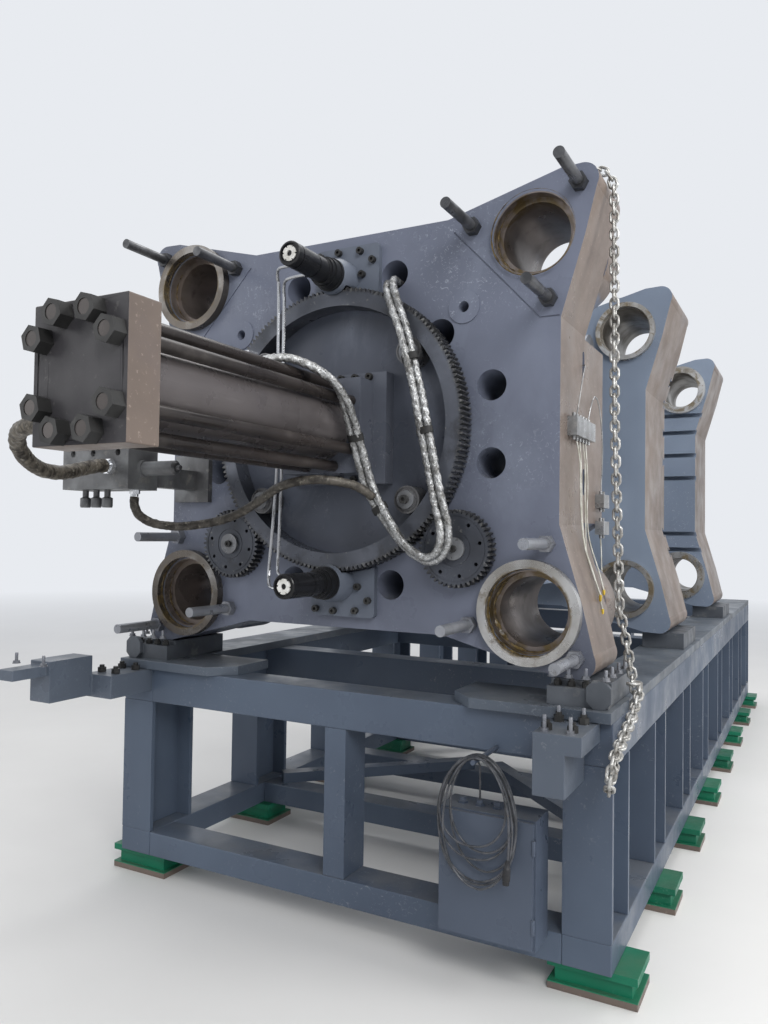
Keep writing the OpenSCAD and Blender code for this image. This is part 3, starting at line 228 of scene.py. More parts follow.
def tail_paint():
    """Blue-grey paint on the face, darkened low down and inside the ring gear as painted shade (with some
    oil inside the ring); brown primer on the sides, bare metal and grease in the bores.
    """
    f = Finish("tail_platen_paint", rough=0.34)
    colour = paint_coat(f, srgb(109, 115, 132), srgb(89, 94, 108), srgb(176, 182, 192),
                        srgb(110, 112, 114), 0.585)
    # Painted shade, with some oil: the recessed disc inside the ring gear is darkened in patches
    from_middle = f.from_axis()
    recess_shade_and_oil = f.calc("MULTIPLY", f.step(from_middle, 0.52, 0.44),
                  f.step(f.grain(2.4, 4), 0.3, 0.66, 0.45, 0.95))
    colour = f.over(recess_shade_and_oil, colour, srgb(64, 68, 77))
    wash = f.step(f.grain(2.2, 6, 0.62, (1, 1, 0.4), swirl=0.8), 0.54, 0.7, 0, 0.3)
    colour = f.over(wash, colour, srgb(134, 142, 158))
    # Painted shade: the face darkens in patches towards the bottom
    low = f.calc("MULTIPLY", f.step(f.z, 1.6, 1.0, 0, 0.4), f.step(f.grain(1.7, 4), 0.35, 0.6))
    colour = f.over(low, colour, srgb(62, 64, 72))
    colour = f.over(cut_sides(f), colour, primer(f))
    bored = f.step(f.from_bores(), 0.1455, 0.1435)
    bare = f.over(f.step(f.grain(4, 4, size=(1, 0.5, 1)), 0.38, 0.66), srgb(136, 127, 123), srgb(94, 87, 84))
    bare = f.over(f.step(f.grain(13, 5, 0.6), 0.55, 0.68, 0, 0.5), bare, srgb(70, 62, 54))
    mouth = f.step(f.y, TAIL_Y + 0.1, TAIL_Y + 0.05)
    smear = f.calc("MULTIPLY", mouth, f.step(f.grain(11, 5, 0.6, swirl=0.6), 0.44, 0.58, 0, 0.9))
    smear = f.calc("MULTIPLY", smear, f.step(f.x, -0.2, 0.2, 0.3, 1))
    bare = f.over(smear, bare, GREASE)
    f.colour(f.over(bored, colour, bare))
    f.put(f.shader.inputs["Metallic"], f.step(bored, 0, 1, 0, 0.7))
    f.roughness(f.grain(5, 5), 0.24, 0.48)
    f.bump((f.grain(7, 3), 0.12, 0.002), (f.grain(230, 3), 0.22, 0.0004))
    return f.material


def grey_platen_paint():
    """Lighter blue-grey on the faces, brown primer on the sides, bare metal in the bores."""
    f = Finish("grey_platen_paint", rough=0.36)
    colour = paint_coat(f, srgb(134, 147, 165), srgb(108, 119, 136), srgb(186, 190, 196),
                        srgb(128, 126, 122))
    colour = f.over(cut_sides(f), colour, primer(f))
    bored = f.step(f.from_bores(), 0.1255, 0.1235)
    bare = f.over(f.step(f.grain(6, 5), 0.42, 0.62), srgb(150, 146, 140), srgb(98, 92, 84))
    f.colour(f.over(bored, colour, bare))
    f.put(f.shader.inputs["Metallic"], f.step(bored, 0, 1, 0, 0.6))
    f.roughness(f.grain(6, 5), 0.28, 0.5)
    f.bump((f.grain(8, 3), 0.12, 0.002), (f.grain(230, 3), 0.22, 0.0004))
    return f.material


def block_paint():
    """Dark grey paint on the end block's outer face, brown primer on its sides."""
    f = Finish("end_block_paint", rough=0.44)
    brown = primer(f)
    outer = f.step(f.facing[1], -0.7, -0.85)
    dark = f.over(f.step(f.grain(2.4, 5), 0.36, 0.64), srgb(62, 61, 64), srgb(50, 49, 52))
    dark = f.over(f.step(f.grain(30, 6, 0.7), 0.6, 0.66, 0, 0.3), dark, srgb(112, 110, 108))
    f.colour(f.over(outer, brown, dark))
    f.roughness(f.grain(8, 4), 0.34, 0.56)
    f.bump((f.grain(12, 3), 0.15, 0.0015), (f.grain(200, 3), 0.25, 0.0005))
    return f.material


def mount_paint():
    """Green on the levelling wedges, brown primer on the plates under them."""
    f = Finish("mount_green", rough=0.4)
    green = paint_coat(f, srgb(22, 118, 88), srgb(14, 88, 66), srgb(110, 150, 132), srgb(96, 100, 84),
                       0.58, 0.3)
    f.colour(f.over(f.step(f.z, 0.024, 0.021), green, primer(f)))
    f.roughness(f.grain(12, 4), 0.32, 0.56)
    f.bump((f.grain(20, 3), 0.15, 0.0015), (f.grain(200, 3), 0.25, 0.0005))
    return f.material


def steel(name, main, shade, mark, metallic, rough, scale, oil=0.25, wear=0.5):
    """Machined steel with stains, rubbed marks and oil."""
    f = Finish(name, metallic, rough)
    colour = f.over(f.step(f.grain(scale * 0.3, 5), 0.36, 0.64), main, shade)
    colour = f.over(f.step(f.grain(scale, 5, 0.65), 0.57, 0.7, 0, wear), colour, mark)
    colour = f.over(f.step(f.grain(scale * 0.5, 6, 0.6), 0.5, 0.66, 0, oil), colour, OIL)
    f.colour(colour)
    f.roughness(f.grain(scale, 4), rough - 0.1, rough + 0.15)
    f.bump((f.grain(scale, 4), 0.12, 0.001), (f.grain(190, 3), 0.3, 0.0004))
    return f.material


def stud_metal(name, bright, dull):
    """Studs and nuts: bright steel low on the machine, dull and dark at the top."""
    f = Finish(name, 0.55, 0.34)
    low = f.over(f.step(f.grain(12, 4), 0.36, 0.64), bright, srgb(134, 136, 141))
    high = f.over(f.step(f.grain(12, 4), 0.36, 0.64), dull, srgb(62, 63, 66))
    colour = f.over(f.step(f.z, 1.7, 1.9), low, high)
    f.colour(f.over(f.step(f.grain(26, 5, 0.65), 0.6, 0.7, 0, 0.4), colour, srgb(84, 80, 74)))
    f.roughness(f.grain(20, 4), 0.26, 0.46)
    f.bump((f.grain(60, 2, size=(1, 9, 1)), 0.25, 0.0004), (f.grain(190, 3), 0.2, 0.0003))
    return f.material


def ring_metal():
    """Bright turned ring, its inner edge smeared with yellow-brown grease."""
    f = Finish("bright_ring", 0.75, 0.3)
    out = f.from_bores()
    colour = f.over(f.step(f.grain(6, 4), 0.36, 0.64), srgb(186, 186, 186), srgb(146, 143, 138))
    colour = f.over(f.step(f.grain(20, 6, 0.7), 0.58, 0.68, 0, 0.6), colour, srgb(104, 96, 84))
    # Painted shade: the rings on the left side are darkened to a brownish grey
    painted_left_shade = f.calc("MULTIPLY", f.step(f.x, 0.2, -0.2), f.step(f.grain(6, 4), 0.3, 0.5, 0.55, 0.95))
    colour = f.over(painted_left_shade, colour, srgb(92, 86, 80))
    near = f.step(out, 0.158, 0.15)
    smear = f.calc("MULTIPLY", near, f.step(f.grain(15, 5, 0.6, swirl=0.8), 0.46, 0.58, 0, 0.85))
    f.colour(f.over(smear, colour, GREASE))
    f.put(f.shader.inputs["Metallic"], f.step(smear, 0, 1, 0.75, 0.1))
    f.roughness(f.grain(9, 4), 0.2, 0.42)
    turned = f.calc("SINE", f.calc("MULTIPLY", out, 2600.0))
    f.bump((turned, 0.1, 0.0003), (f.grain(120, 3), 0.2, 0.0004))
    return f.material


def gear_metal(name, across, up, teeth_from, main=srgb(92, 96, 106), shade=srgb(66, 69, 76)):
    """Grey oily face with darker teeth, rubbed bright in spots; teeth_from is their root radius."""
    f = Finish(name, 0.45, 0.36)
    out = f.from_axis(across, up)
    colour = f.over(f.step(f.grain(4, 4), 0.36, 0.64), main, shade)
    teeth = f.step(out, teeth_from, teeth_from + 0.012)
    grimy = f.calc("MULTIPLY", teeth, f.step(f.grain(9, 5), 0.3, 0.6, 0.3, 0.8))
    colour = f.over(grimy, colour, srgb(52, 51, 50))
    touched = f.calc("MULTIPLY", teeth, f.step(f.grain(60, 4, 0.7), 0.5, 0.62, 0, 0.35))
    colour = f.over(touched, colour, srgb(168, 168, 164))
    colour = f.over(f.step(f.grain(11, 6, 0.62), 0.54, 0.68, 0, 0.5), colour, srgb(38, 36, 34))
    f.colour(f.over(f.step(f.grain(44, 6, 0.7), 0.62, 0.66, 0, 0.4), colour, BARE))
    f.roughness(f.grain(8, 4), 0.24, 0.5)
    f.bump((f.grain(14, 4), 0.15, 0.001), (f.grain(160, 3), 0.25, 0.0005))
    return f.material


def barrel_metal(name, main, shade, mark):
    """Glossy brown-grey steel, streaked with oil along its length."""
    f = Finish(name, 0.4, 0.28)
    colour = f.over(f.step(f.grain(3, 4, size=(1, 0.25, 1)), 0.36, 0.64), main, shade)
    colour = f.over(f.step(f.grain(16, 5, 0.65, (1, 0.15, 1)), 0.56, 0.72, 0, 0.35), colour, mark)
    colour = f.over(f.step(f.grain(5, 5, 0.6, (1, 0.5, 1)), 0.56, 0.7, 0, 0.4), colour, srgb(58, 53, 51))
    f.colour(colour)
    f.roughness(f.grain(8, 4), 0.2, 0.42)
    f.bump((f.grain(10, 3), 0.12, 0.001), (f.grain(180, 3), 0.2, 0.0004))
    return f.material


def foil():
    """Crinkled aluminium foil with patches of dark grease; its creases are painted dark and its ridges
    bright as painted shade and sheen.
    """
    f = Finish("foil_wrap", 0.7, 0.34)
    folds = f.grain(110, 5, 0.72, swirl=1.4)
    # Painted shade and sheen: the noise that raises the folds also colours the creases dark and the ridges
    # bright
    colour = f.over(f.step(folds, 0.36, 0.6), srgb(96, 95, 92), srgb(186, 188, 190))
    colour = f.over(f.step(f.grain(22, 5, 0.6), 0.46, 0.64, 0, 0.8), colour, srgb(74, 72, 68))
    f.colour(colour)
    f.roughness(f.grain(60, 4), 0.2, 0.5)
    f.bump((f.cells(150, (1, 1, 0.7)), 0.6, 0.003), (folds, 0.6, 0.002))
    return f.material


def wrapped(name, main, shade, mark):
    """Hose under a greasy spiral of tape."""
    f = Finish(name, 0.15, 0.5)
    colour = f.over(f.step(f.grain(30, 5, 0.65, swirl=0.8), 0.38, 0.62), main, shade)
    colour = f.over(f.step(f.grain(55, 5, 0.7), 0.57, 0.68, 0, 0.8), colour, mark)
    f.colour(colour)
    f.roughness(f.grain(30, 4), 0.3, 0.65)
    f.bump((f.cells(60, (1, 1, 0.6)), 0.6, 0.004), (f.grain(120, 4), 0.4, 0.001))
    return f.material


def plastic(name, main, shade, rough=0.45):
    """Moulded plastic or rubber, a little soiled."""
    f = Finish(name, 0.0, rough)
    colour = f.over(f.step(f.grain(24, 4), 0.38, 0.62), main, shade)
    f.colour(f.over(f.step(f.grain(90, 5, 0.7), 0.62, 0.7, 0, 0.4), colour, srgb(120, 108, 84)))
    f.roughness(f.grain(30, 4), rough - 0.12, rough + 0.15)
    f.bump((f.grain(140, 3), 0.25, 0.0005),)
    return f.material


def chain_metal():
    """Zinc-bright chain with brown rubbed spots."""
    f = Finish("chain_metal", 0.7, 0.36)
    colour = f.over(f.step(f.grain(30, 5, 0.6), 0.4, 0.6), srgb(186, 186, 184), srgb(134, 132, 128))
    colour = f.over(f.step(f.grain(70, 5, 0.7), 0.56, 0.66, 0, 0.6), colour, srgb(96, 80, 64))
    f.colour(colour)
    f.roughness(f.grain(60, 4), 0.26, 0.52)
    f.bump((f.grain(150, 4), 0.3, 0.0006),)
    return f.material


def soft_grease():
    """Wet yellow-brown grease."""
    f = Finish("bore_grease", 0.0, 0.25)
    colour = f.over(f.step(f.grain(40, 5, 0.6), 0.38, 0.6), srgb(112, 96, 62), srgb(58, 48, 34))
    f.colour(colour)
    f.roughness(f.grain(60, 4), 0.12, 0.36)
    f.bump((f.grain(90, 4), 0.5, 0.002),)
    return f.material


FRAME = paint("frame_paint", srgb(86, 98, 115), srgb(70, 80, 96))
TAIL = tail_paint()
GREY = grey_platen_paint()
SCREW = steel("screw_black", srgb(58, 58, 58), srgb(40, 40, 40), srgb(104, 104, 102), 0.2, 0.4, 14,
              oil=0, wear=0.3)
GEAR = gear_metal("ring_gear_steel", 0, 0, 0.512)
PINION = gear_metal("pinion_steel", 0, 0, 0.5)
IDLER = {side: gear_metal(name, side * IDLER_X, IDLER_Z, 0.122, srgb(76, 80, 89), srgb(56, 59, 66))
         for side, name in ((1, "idler_steel_right"), (-1, "idler_steel_left"))}
LINK = steel("link_steel", srgb(112, 117, 126), srgb(84, 88, 95), srgb(158, 158, 156), 0.35, 0.42, 12)
ROLLER = steel("roller_steel", srgb(112, 112, 114), srgb(74, 74, 76), srgb(160, 160, 158), 0.6, 0.34, 26)
BLOCK = block_paint()
FINISHES = {
    "base_columns": FRAME, "base_end_beams": FRAME, "base_side_rails": FRAME, "base_sills": FRAME,
    "base_cross_beams": FRAME, "base_braces": FRAME,
    "corner_plates": paint("plate_paint", srgb(92, 101, 113), srgb(74, 82, 93), scuffs=0.58),
    "slide_ways": steel("way_steel", srgb(104, 111, 120), srgb(78, 84, 92), srgb(150, 150, 148),
                        0.25, 0.42, 8),
    "corner_arms": paint("arm_paint", srgb(98, 107, 120), srgb(78, 86, 98), scuffs=0.58),
    "levelling_mounts": mount_paint(),
    "tail_platen": TAIL, "moving_platen": GREY, "fixed_platen": GREY, "toggle_lugs": GREY,
    "platen_shoes": steel("shoe_steel", srgb(98, 103, 110), srgb(70, 74, 80), srgb(150, 150, 148),
                          0.3, 0.42, 10),
    "bore_rings": ring_metal(),
    "clamp_studs": stud_metal("stud_steel", srgb(148, 151, 158), srgb(104, 105, 108)),
    "stud_nuts": stud_metal("nut_steel", srgb(112, 115, 123), srgb(64, 65, 68)),
    "cylinder_nuts": SCREW, "cap_screws": SCREW,
    "ring_gear": GEAR, "pinion_top": PINION, "pinion_bottom": PINION,
    "idler_right": IDLER[1], "idler_left": IDLER[-1],
    "roller_1": ROLLER, "roller_2": ROLLER, "roller_3": ROLLER, "roller_4": ROLLER,
    "gear_axles": steel("axle_steel", srgb(136, 138, 142), srgb(98, 99, 102), srgb(176, 176, 174),
                        0.6, 0.34, 30),
    "drive_brackets": paint("housing_paint", srgb(98, 105, 118), srgb(78, 84, 95), scuffs=0.6),
    "drive_motors": paint("motor_black", srgb(32, 33, 36), srgb(22, 22, 24), srgb(112, 112, 112),
                          srgb(58, 58, 58), 0.3, 0.62),
    "cylinder_foot": paint("foot_paint", srgb(100, 105, 117), srgb(80, 84, 94), scuffs=0.6),
    "cylinder_barrel": barrel_metal("barrel_brown", srgb(104, 99, 99), srgb(82, 78, 79),
                                    srgb(134, 130, 130)),
    "cylinder_end_block": BLOCK,
    "cylinder_tie_rods": steel("rod_black", srgb(70, 64, 62), srgb(48, 44, 43), srgb(110, 104, 100),
                               0.35, 0.28, 6, oil=0.15, wear=0.3),
    "toggle_rear_links": LINK, "toggle_front_links": LINK, "crosshead_links": LINK, "crosshead": LINK,
    "toggle_pins": steel("pin_steel", srgb(150, 151, 153), srgb(110, 110, 110), srgb(180, 180, 178),
                         0.7, 0.3, 30),
    "valve_block": steel("valve_metal", srgb(116, 118, 120), srgb(76, 76, 78), srgb(164, 162, 156),
                         0.4, 0.42, 18),
    "steel_pipes": steel("pipe_steel", srgb(206, 208, 212), srgb(168, 169, 172), srgb(220, 220, 220),
                         0.8, 0.22, 5, oil=0, wear=0.1),
    "lubrication": steel("block_metal", srgb(176, 178, 180), srgb(132, 133, 134), srgb(200, 198, 194),
                         0.6, 0.34, 30),
    "junction_box": paint("box_paint", srgb(82, 92, 108), srgb(68, 76, 90), scuffs=0.62),
    "chain_over": chain_metal(),
}
FINISHES["chain_hanging"] = FINISHES["chain_loop"] = FINISHES["chain_over"]


def dress_nodes():
    """Gives each CAD node its finish."""
    for name, finish in FINISHES.items():
        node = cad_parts[name]
        for slot in node.material_slots:
            slot.material = finish


dress_nodes()


# Bevel widths in millimetres
EDGES = {
    "base_columns": 3, "base_end_beams": 4, "base_side_rails": 4, "base_sills": 4,
    "base_cross_beams": 4, "corner_plates": 3, "corner_arms": 3, "slide_ways": 2.5,
    "platen_shoes": 3, "cylinder_foot": 3, "cylinder_end_block": 3, "junction_box": 2,
    "drive_brackets": 1.5, "levelling_mounts": 2, "valve_block": 1.5, "toggle_lugs": 2.5,
    "tail_platen": 2, "moving_platen": 2, "fixed_platen": 2,
}


def soften_edges():
    """Rounds the long edges of plates and blocks, as cutting and paint leave them."""
    for name, width in EDGES.items():
        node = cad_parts[name]
        weld = node.modifiers.new("weld", "WELD")
        weld.merge_threshold = 0.0001
        bevel = node.modifiers.new("bevel", "BEVEL")
        bevel.width = width / 1000
        bevel.segments = 2
        bevel.limit_method = "ANGLE"
        bevel.angle_limit = math.radians(50)
        bevel.use_clamp_overlap = True


soften_edges()


# ---- New pieces
MERGE_DISTANCE = 0.00002
SHARP_ANGLE = math.radians(38)


def ride(name, data, finish):
    """Puts a mesh or curve in the scene as a piece that rides on the machine."""
    data.materials.clear()
    data.materials.append(finish)
    piece = bpy.data.objects.new(name, data)
    bpy.context.scene.collection.objects.link(piece)
    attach(piece, "machine")
    return piece


def keep(bm, name, finish, smooth=True):
    """Turns a bmesh into a piece."""
    bmesh.ops.remove_doubles(bm, verts=bm.verts[:], dist=MERGE_DISTANCE)
    bmesh.ops.recalc_face_normals(bm, faces=bm.faces[:])
    mesh = bpy.data.meshes.new(name)
    bm.to_mesh(mesh)
    bm.free()
    if smooth:
        mesh.shade_smooth()
        mesh.set_sharp_from_angle(angle=SHARP_ANGLE)
    return ride(name, mesh, finish)


def turned(bm, outline, centre, axis, steps=32):
    """Spins an outline of (radius, place along the axis) round a line through centre."""
    axis = Vector(axis).normalized()
    side = axis.orthogonal().normalized()
    verts = [bm.verts.new(Vector(centre) + side * r + axis * a) for r, a in outline]
    edges = [bm.edges.new(pair) for pair in zip(verts, verts[1:])]
    bmesh.ops.spin(bm, geom=verts + edges, cent=centre, axis=axis, angle=math.tau, steps=steps,
                   use_merge=True, use_duplicate=False)


def at_tail(points):
    """Points in millimetres from the tail platen's face and the clamping axis."""
    return [Vector(p) / 1000 + Vector((0, TAIL_Y, AXIS_Z)) for p in points]


def route(points, steps):
    """The smooth line through given points."""
    line = []
    for i in range(len(points) - 1):
        a, b, c, d = (points[max(0, min(len(points) - 1, i + k))] for k in (-1, 0, 1, 2))
        for j in range(steps):
            t = j / steps
            line.append(0.5 * (2 * b + (c - a) * t + (2 * a - 5 * b + 4 * c - d) * t * t
                               + (3 * b - a - 3 * c + d) * t ** 3))
    return line + [points[-1]]


def run(line):
    """Length of a line."""
    return sum((b - a).length for a, b in zip(line, line[1:]))


def hose_curve(name, line, radius, finish, sides):
    """A round tube along a line, as a curve."""
    curve = bpy.data.curves.new(name, "CURVE")
    curve.dimensions = "3D"
    curve.bevel_depth = radius
    curve.bevel_resolution = sides // 2 - 2
    curve.use_fill_caps = True
    spline = curve.splines.new("POLY")
    spline.points.add(len(line) - 1)
    for point, place in zip(spline.points, line):
        point.co = (*place, 1)
    spline.use_smooth = True
    return ride(name, curve, finish)


def wrapped_tube(name, lines, radius, finish, crease, turns):
    """Hose strands as one mesh, their wrap creased by a small random height along a spiral."""
    bm = bmesh.new()
    for line in lines:
        spaced = even(line, max(12, int(run(line) / 0.006)))
        draft = hose_curve("draft", spaced, radius, finish, 20)
        bpy.context.view_layer.update()
        mesh = bpy.data.meshes.new_from_object(draft.evaluated_get(bpy.context.evaluated_depsgraph_get()))
        curve = draft.data
        bpy.data.objects.remove(draft)
        bpy.data.curves.remove(curve)
        bm.from_mesh(mesh)
        bpy.data.meshes.remove(mesh)
    bmesh.ops.remove_doubles(bm, verts=bm.verts[:], dist=MERGE_DISTANCE)
    bmesh.ops.recalc_face_normals(bm, faces=bm.faces[:])
    bm.normal_update()
    for v in bm.verts:
        rough = noise.noise(v.co * 95) * 0.6 + noise.noise(v.co * 230) * 0.4
        fold = math.sin((v.co.x + v.co.y * 0.7 + v.co.z) * turns)
        v.co += v.normal * crease * (rough + 0.35 * fold - 0.75)
    mesh = bpy.data.meshes.new(name)
    bm.to_mesh(mesh)
    bm.free()
    mesh.shade_smooth()
    return ride(name, mesh, finish)


def strands(line, apart, twist):
    """Two lines side by side along a line, rocking a little about it."""
    pair, along = ([], []), 0.0
    side = Vector((1, 0, 0))
    for i, point in enumerate(line):
        ahead = (line[min(i + 1, len(line) - 1)] - line[max(i - 1, 0)]).normalized()
        side = (side - ahead * side.dot(ahead)).normalized()
        angle = twist * math.sin(along * 8)
        out = (side * math.cos(angle) + ahead.cross(side) * math.sin(angle)) * apart
        pair[0].append(point + out)
        pair[1].append(point - out)
        if i + 1 < len(line):
            along += (line[i + 1] - point).length
    return pair


def even(line, count):
    """The same line with its points evenly apart."""
    total, out, left, i = run(line), [line[0]], 0.0, 0
    gap = total / count
    need = gap
    a = line[0]
    for b in line[1:]:
        while (b - a).length >= need:
            a = a + (b - a).normalized() * need
            out.append(a)
            need = gap
        need -= (b - a).length
        a = b
    if (out[-1] - line[-1]).length > gap * 0.3:
        out.append(line[-1])
    else:
        out[-1] = line[-1]
    return out


# ---- Hoses, lines and the hank of cable
def tie_both(spots, places):
    """Flat black ties round both strands of the foil hose."""
    bm = bmesh.new()
    for i in places:
        ahead = (spots[i + 1] - spots[i - 1]).normalized()
        across = ahead.cross(Vector((0, 1, 0))).normalized()
        deep = ahead.cross(across)
        start = len(bm.verts)
        turned(bm, [(0.8, -0.013), (1.0, -0.012), (1.02, 0), (1.0, 0.012), (0.8, 0.013), (0.8, -0.013)],
               spots[i], ahead, 28)
        bm.verts.ensure_lookup_table()
        for v in bm.verts[start:]:
            out = v.co - spots[i]
            along, x, y = out.dot(ahead), out.dot(across), out.dot(deep)
            v.co = spots[i] + ahead * along + across * x * 0.031 + deep * y * 0.0175
    keep(bm, "hose_ties", plastic("tie_tape", srgb(44, 44, 44), srgb(30, 30, 30), 0.5))


def hang_hose(node, lines, radius, finish, crease, turns):
    """A wrapped hose in place of its CAD node; lines are its strands."""
    hose = wrapped_tube(node + "_wrap", lines, radius, finish, crease, turns)
    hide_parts(node)


def hoses():
    """The foil hose from the platen to the cylinder, its branch, and the hose at the end block."""
    foil_finish = foil()
    foil_line = route(at_tail([
        (215, 160, 543.5), (215, 60, 543.5), (217, 0, 543.5), (226, -50, 538), (245, -95, 500),
        (280, -125, 430), (320, -132, 330), (352, -134, 220), (385, -134, 90), (410, -134, -30),
        (437, -134, -150), (463, -134, -270), (484, -132, -350), (488, -132, -410), (470, -132, -457),
        (430, -132, -478), (385, -134, -462), (330, -138, -420), (265, -145, -330), (215, -155, -245),
        (190, -175, -150), (178, -205, -60), (176, -245, 10), (178, -290, 70), (164, -335, 122),
        (135, -372, 153), (98, -410, 177), (58, -455, 191), (20, -505, 181), (4, -542, 164),
        (0, -562, 159), (0, -577.7, 158)]), 4)
    hang_hose("foil_hose", strands(foil_line, 0.0138, 0.5), 0.0158, foil_finish,
              0.0026, 240)
    tie_both(even(foil_line, 80), (19, 28, 53, 62))
    tape = wrapped("hose_tape", srgb(86, 82, 76), srgb(48, 45, 42), srgb(134, 130, 120))
    branch_line = route(at_tail([
        (236, -185, -262), (222, -222, -240), (195, -262, -222), (150, -305, -212), (90, -335, -208),
        (20, -345, -215), (-60, -340, -235), (-142, -325, -275), (-225, -325, -318), (-305, -338, -348),
        (-380, -375, -366), (-440, -434, -374), (-484, -502, -364), (-504, -550, -336), (-508, -569, -302),
        (-508, -570, -272.3)]), 4)
    hang_hose("branch_hose", [branch_line], 0.017, tape, 0.0018, 300)
    end_tape = wrapped("end_hose_tape", srgb(112, 106, 96), srgb(50, 46, 42), srgb(160, 154, 142))
    end_line = route(at_tail([
        (-192, -1215, -115), (-235, -1213, -114), (-300, -1198, -120), (-365, -1160, -138),
        (-415, -1110, -165), (-450, -1050, -192), (-478, -985, -208), (-500, -915, -212), (-518, -850, -205),
        (-534, -790, -192), (-546, -735, -180), (-552, -695, -172), (-554, -667, -170)]), 4)
    hang_hose("end_hose", [end_line], 0.025, end_tape, 0.0024, 240)


hoses()


def loose_lines():
    """Thin lines that hang open from the lubrication blocks, with a cap on each."""
    clear = plastic("clear_line", srgb(206, 207, 200), srgb(170, 168, 156), 0.3)
    cap_finish = plastic("line_cap", srgb(206, 176, 62), srgb(168, 138, 44), 0.4)
    near = [(866, 190, -54), (871, 191, -130), (872, 198, -220), (873, 206, -320), (881, 212, -420),
            (912, 216, -520), (936, 218, -600)]
    far = [(866, 510, -396), (870, 509, -450), (874, 500, -520), (888, 488, -590), (900, 484, -650),
           (906, 482, -710)]
    lines = {"loose_line_1": near, "loose_line_2": far}
    for i, (shift, low) in enumerate(((-40, 6), (40, -46), (80, 20))):
        spare = [(near[0][0], near[0][1] + shift, near[0][2])]
        for k, (x, y, z) in enumerate(near[1:], 1):
            spare.append((x + 1.5 + 4 * abs(math.sin(k * 1.3 + i)),
                          y + shift * (1 - 0.09 * k) + 3 * math.sin(k + i), z + low * k / 6))
        lines[f"spare_line_{i + 1}"] = spare
    thick = 0.005
    outline = [(0, 0.001), (0.0038, 0.001), (0.005, -0.001), (0.005, -0.012), (0.0042, -0.014),
               (0.0042, -0.017), (0.003, -0.018), (0, -0.018)]
    for name, points in lines.items():
        line = route(at_tail(points), 4)
        piece = hose_curve(name + "_hose", line, thick / 2, clear, 8)
        bm = bmesh.new()
        turned(bm, outline, line[-1], (0, 0, 1), 16)
        cap = keep(bm, name + "_cap", cap_finish)
        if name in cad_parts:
            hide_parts(name)


loose_lines()


def cable_hank():
    """Loose loops of cable from the box, hung over its peg, with the plug at the end."""
    front = BASE_FRONT_Y - 0.14
    peg = Vector((0.66, front, 0.77))
    line = [Vector((0.63, front + 0.07, 0.606)), Vector((0.63, front + 0.07, 0.645)),
            Vector((0.631, front + 0.066, 0.685)), Vector((0.636, front + 0.05, 0.72)),
            Vector((0.64, front + 0.028, 0.75))]
    # Half width, depth and sideways shift of each loop
    loops = [(0.15, 0.415, -0.014), (0.122, 0.365, 0.014), (0.138, 0.33, -0.02), (0.114, 0.30, 0.02),
             (0.146, 0.39, 0.0), (0.118, 0.28, -0.012), (0.132, 0.405, 0.016), (0.126, 0.37, 0.0)]
    steps, turns, thick = 30, 7.28, 0.007
    rng = random.Random(11)
    lean = [rng.uniform(-0.012, 0.012) for _ in range(len(loops) + 1)]
    for k in range(3, int(turns * steps) + 1):
        u = k / steps
        i = min(int(u + 0.5), len(loops) - 1)
        share = max(0.0, min(1.0, u + 0.5 - i))
        share = 1 if u < 0.5 else share * share * (3 - 2 * share)
        wide, deep, off = (a + (b - a) * share for a, b in zip(loops[max(i - 1, 0)], loops[i]))
        turn = math.tau * u
        drop = (1 - math.cos(turn)) / 2
        x = off + wide * math.sin(turn) * (0.8 + 0.2 * drop) + lean[i] * drop
        z = thick / 2 + 0.0005 - deep * drop
        line.append(peg + Vector((x, -0.0045 - 0.0085 * u, z)))
    down = line[-1]
    line += [down + Vector((0.001, -0.001, -0.03)), down + Vector((0.0, -0.001, -0.06)),
             down + Vector((-0.002, -0.001, -0.09))]
    line = route(line, 2)
    grey = plastic("grey_cable", srgb(84, 86, 91), srgb(56, 58, 62), 0.24)
    cable = hose_curve("cable_loops", line, thick / 2, grey, 10)
    bm = bmesh.new()
    outline = [(0, -0.004), (0.005, -0.002), (0.0065, 0.004), (0.0095, 0.02), (0.0115, 0.022),
               (0.0115, 0.044), (0.0125, 0.045), (0.0125, 0.058), (0.0105, 0.06), (0.0105, 0.072),
               (0.009, 0.073), (0, 0.073)]
    turned(bm, outline, line[-1], (line[-1] - line[-2]).normalized(), 20)
    black = plastic("plug_black", srgb(46, 47, 50), srgb(32, 32, 34), 0.4)
    plug = keep(bm, "cable_plug", black)
    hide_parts("cable_hank")


cable_hank()


# ---- Small pieces on the machine
def motor_ends():
    """White notched coupling faces, each with a dark bore, in the black rims of the two drive motors."""
    pale = plastic("coupling_white", srgb(226, 226, 224), srgb(196, 195, 190), 0.4)
    bm = bmesh.new()
    for up in (PINION_Z, -PINION_Z):
        centre = Vector((0, TAIL_Y - 0.3735, AXIS_Z + up))
        rim = bmesh.ops.create_circle(bm, segments=96, radius=0.027, cap_ends=False)["verts"]
        for v in rim:
            a = math.atan2(v.co.y, v.co.x)
            v.co *= 0.82 if math.cos(6 * a + 0.4) > 0.88 else 1.0
        hole = bmesh.ops.create_circle(bm, segments=96, radius=0.0105, cap_ends=False)["verts"]
        both = set(rim) | set(hole)
        edges = [e for e in bm.edges if e.verts[0] in both and e.verts[1] in both]
        face = bmesh.ops.bridge_loops(bm, edges=edges)["faces"]
        top = bmesh.ops.extrude_face_region(bm, geom=face)
        moved = [g for g in top["geom"] if isinstance(g, bmesh.types.BMVert)]
        bmesh.ops.translate(bm, verts=moved, vec=(0, 0, 0.006))
        bmesh.ops.transform(bm, matrix=Matrix.Translation(centre) @ Matrix.Rotation(math.pi / 2, 4, "X"),
                            verts=list(both) + moved)
    keep(bm, "motor_couplings", pale, smooth=False)


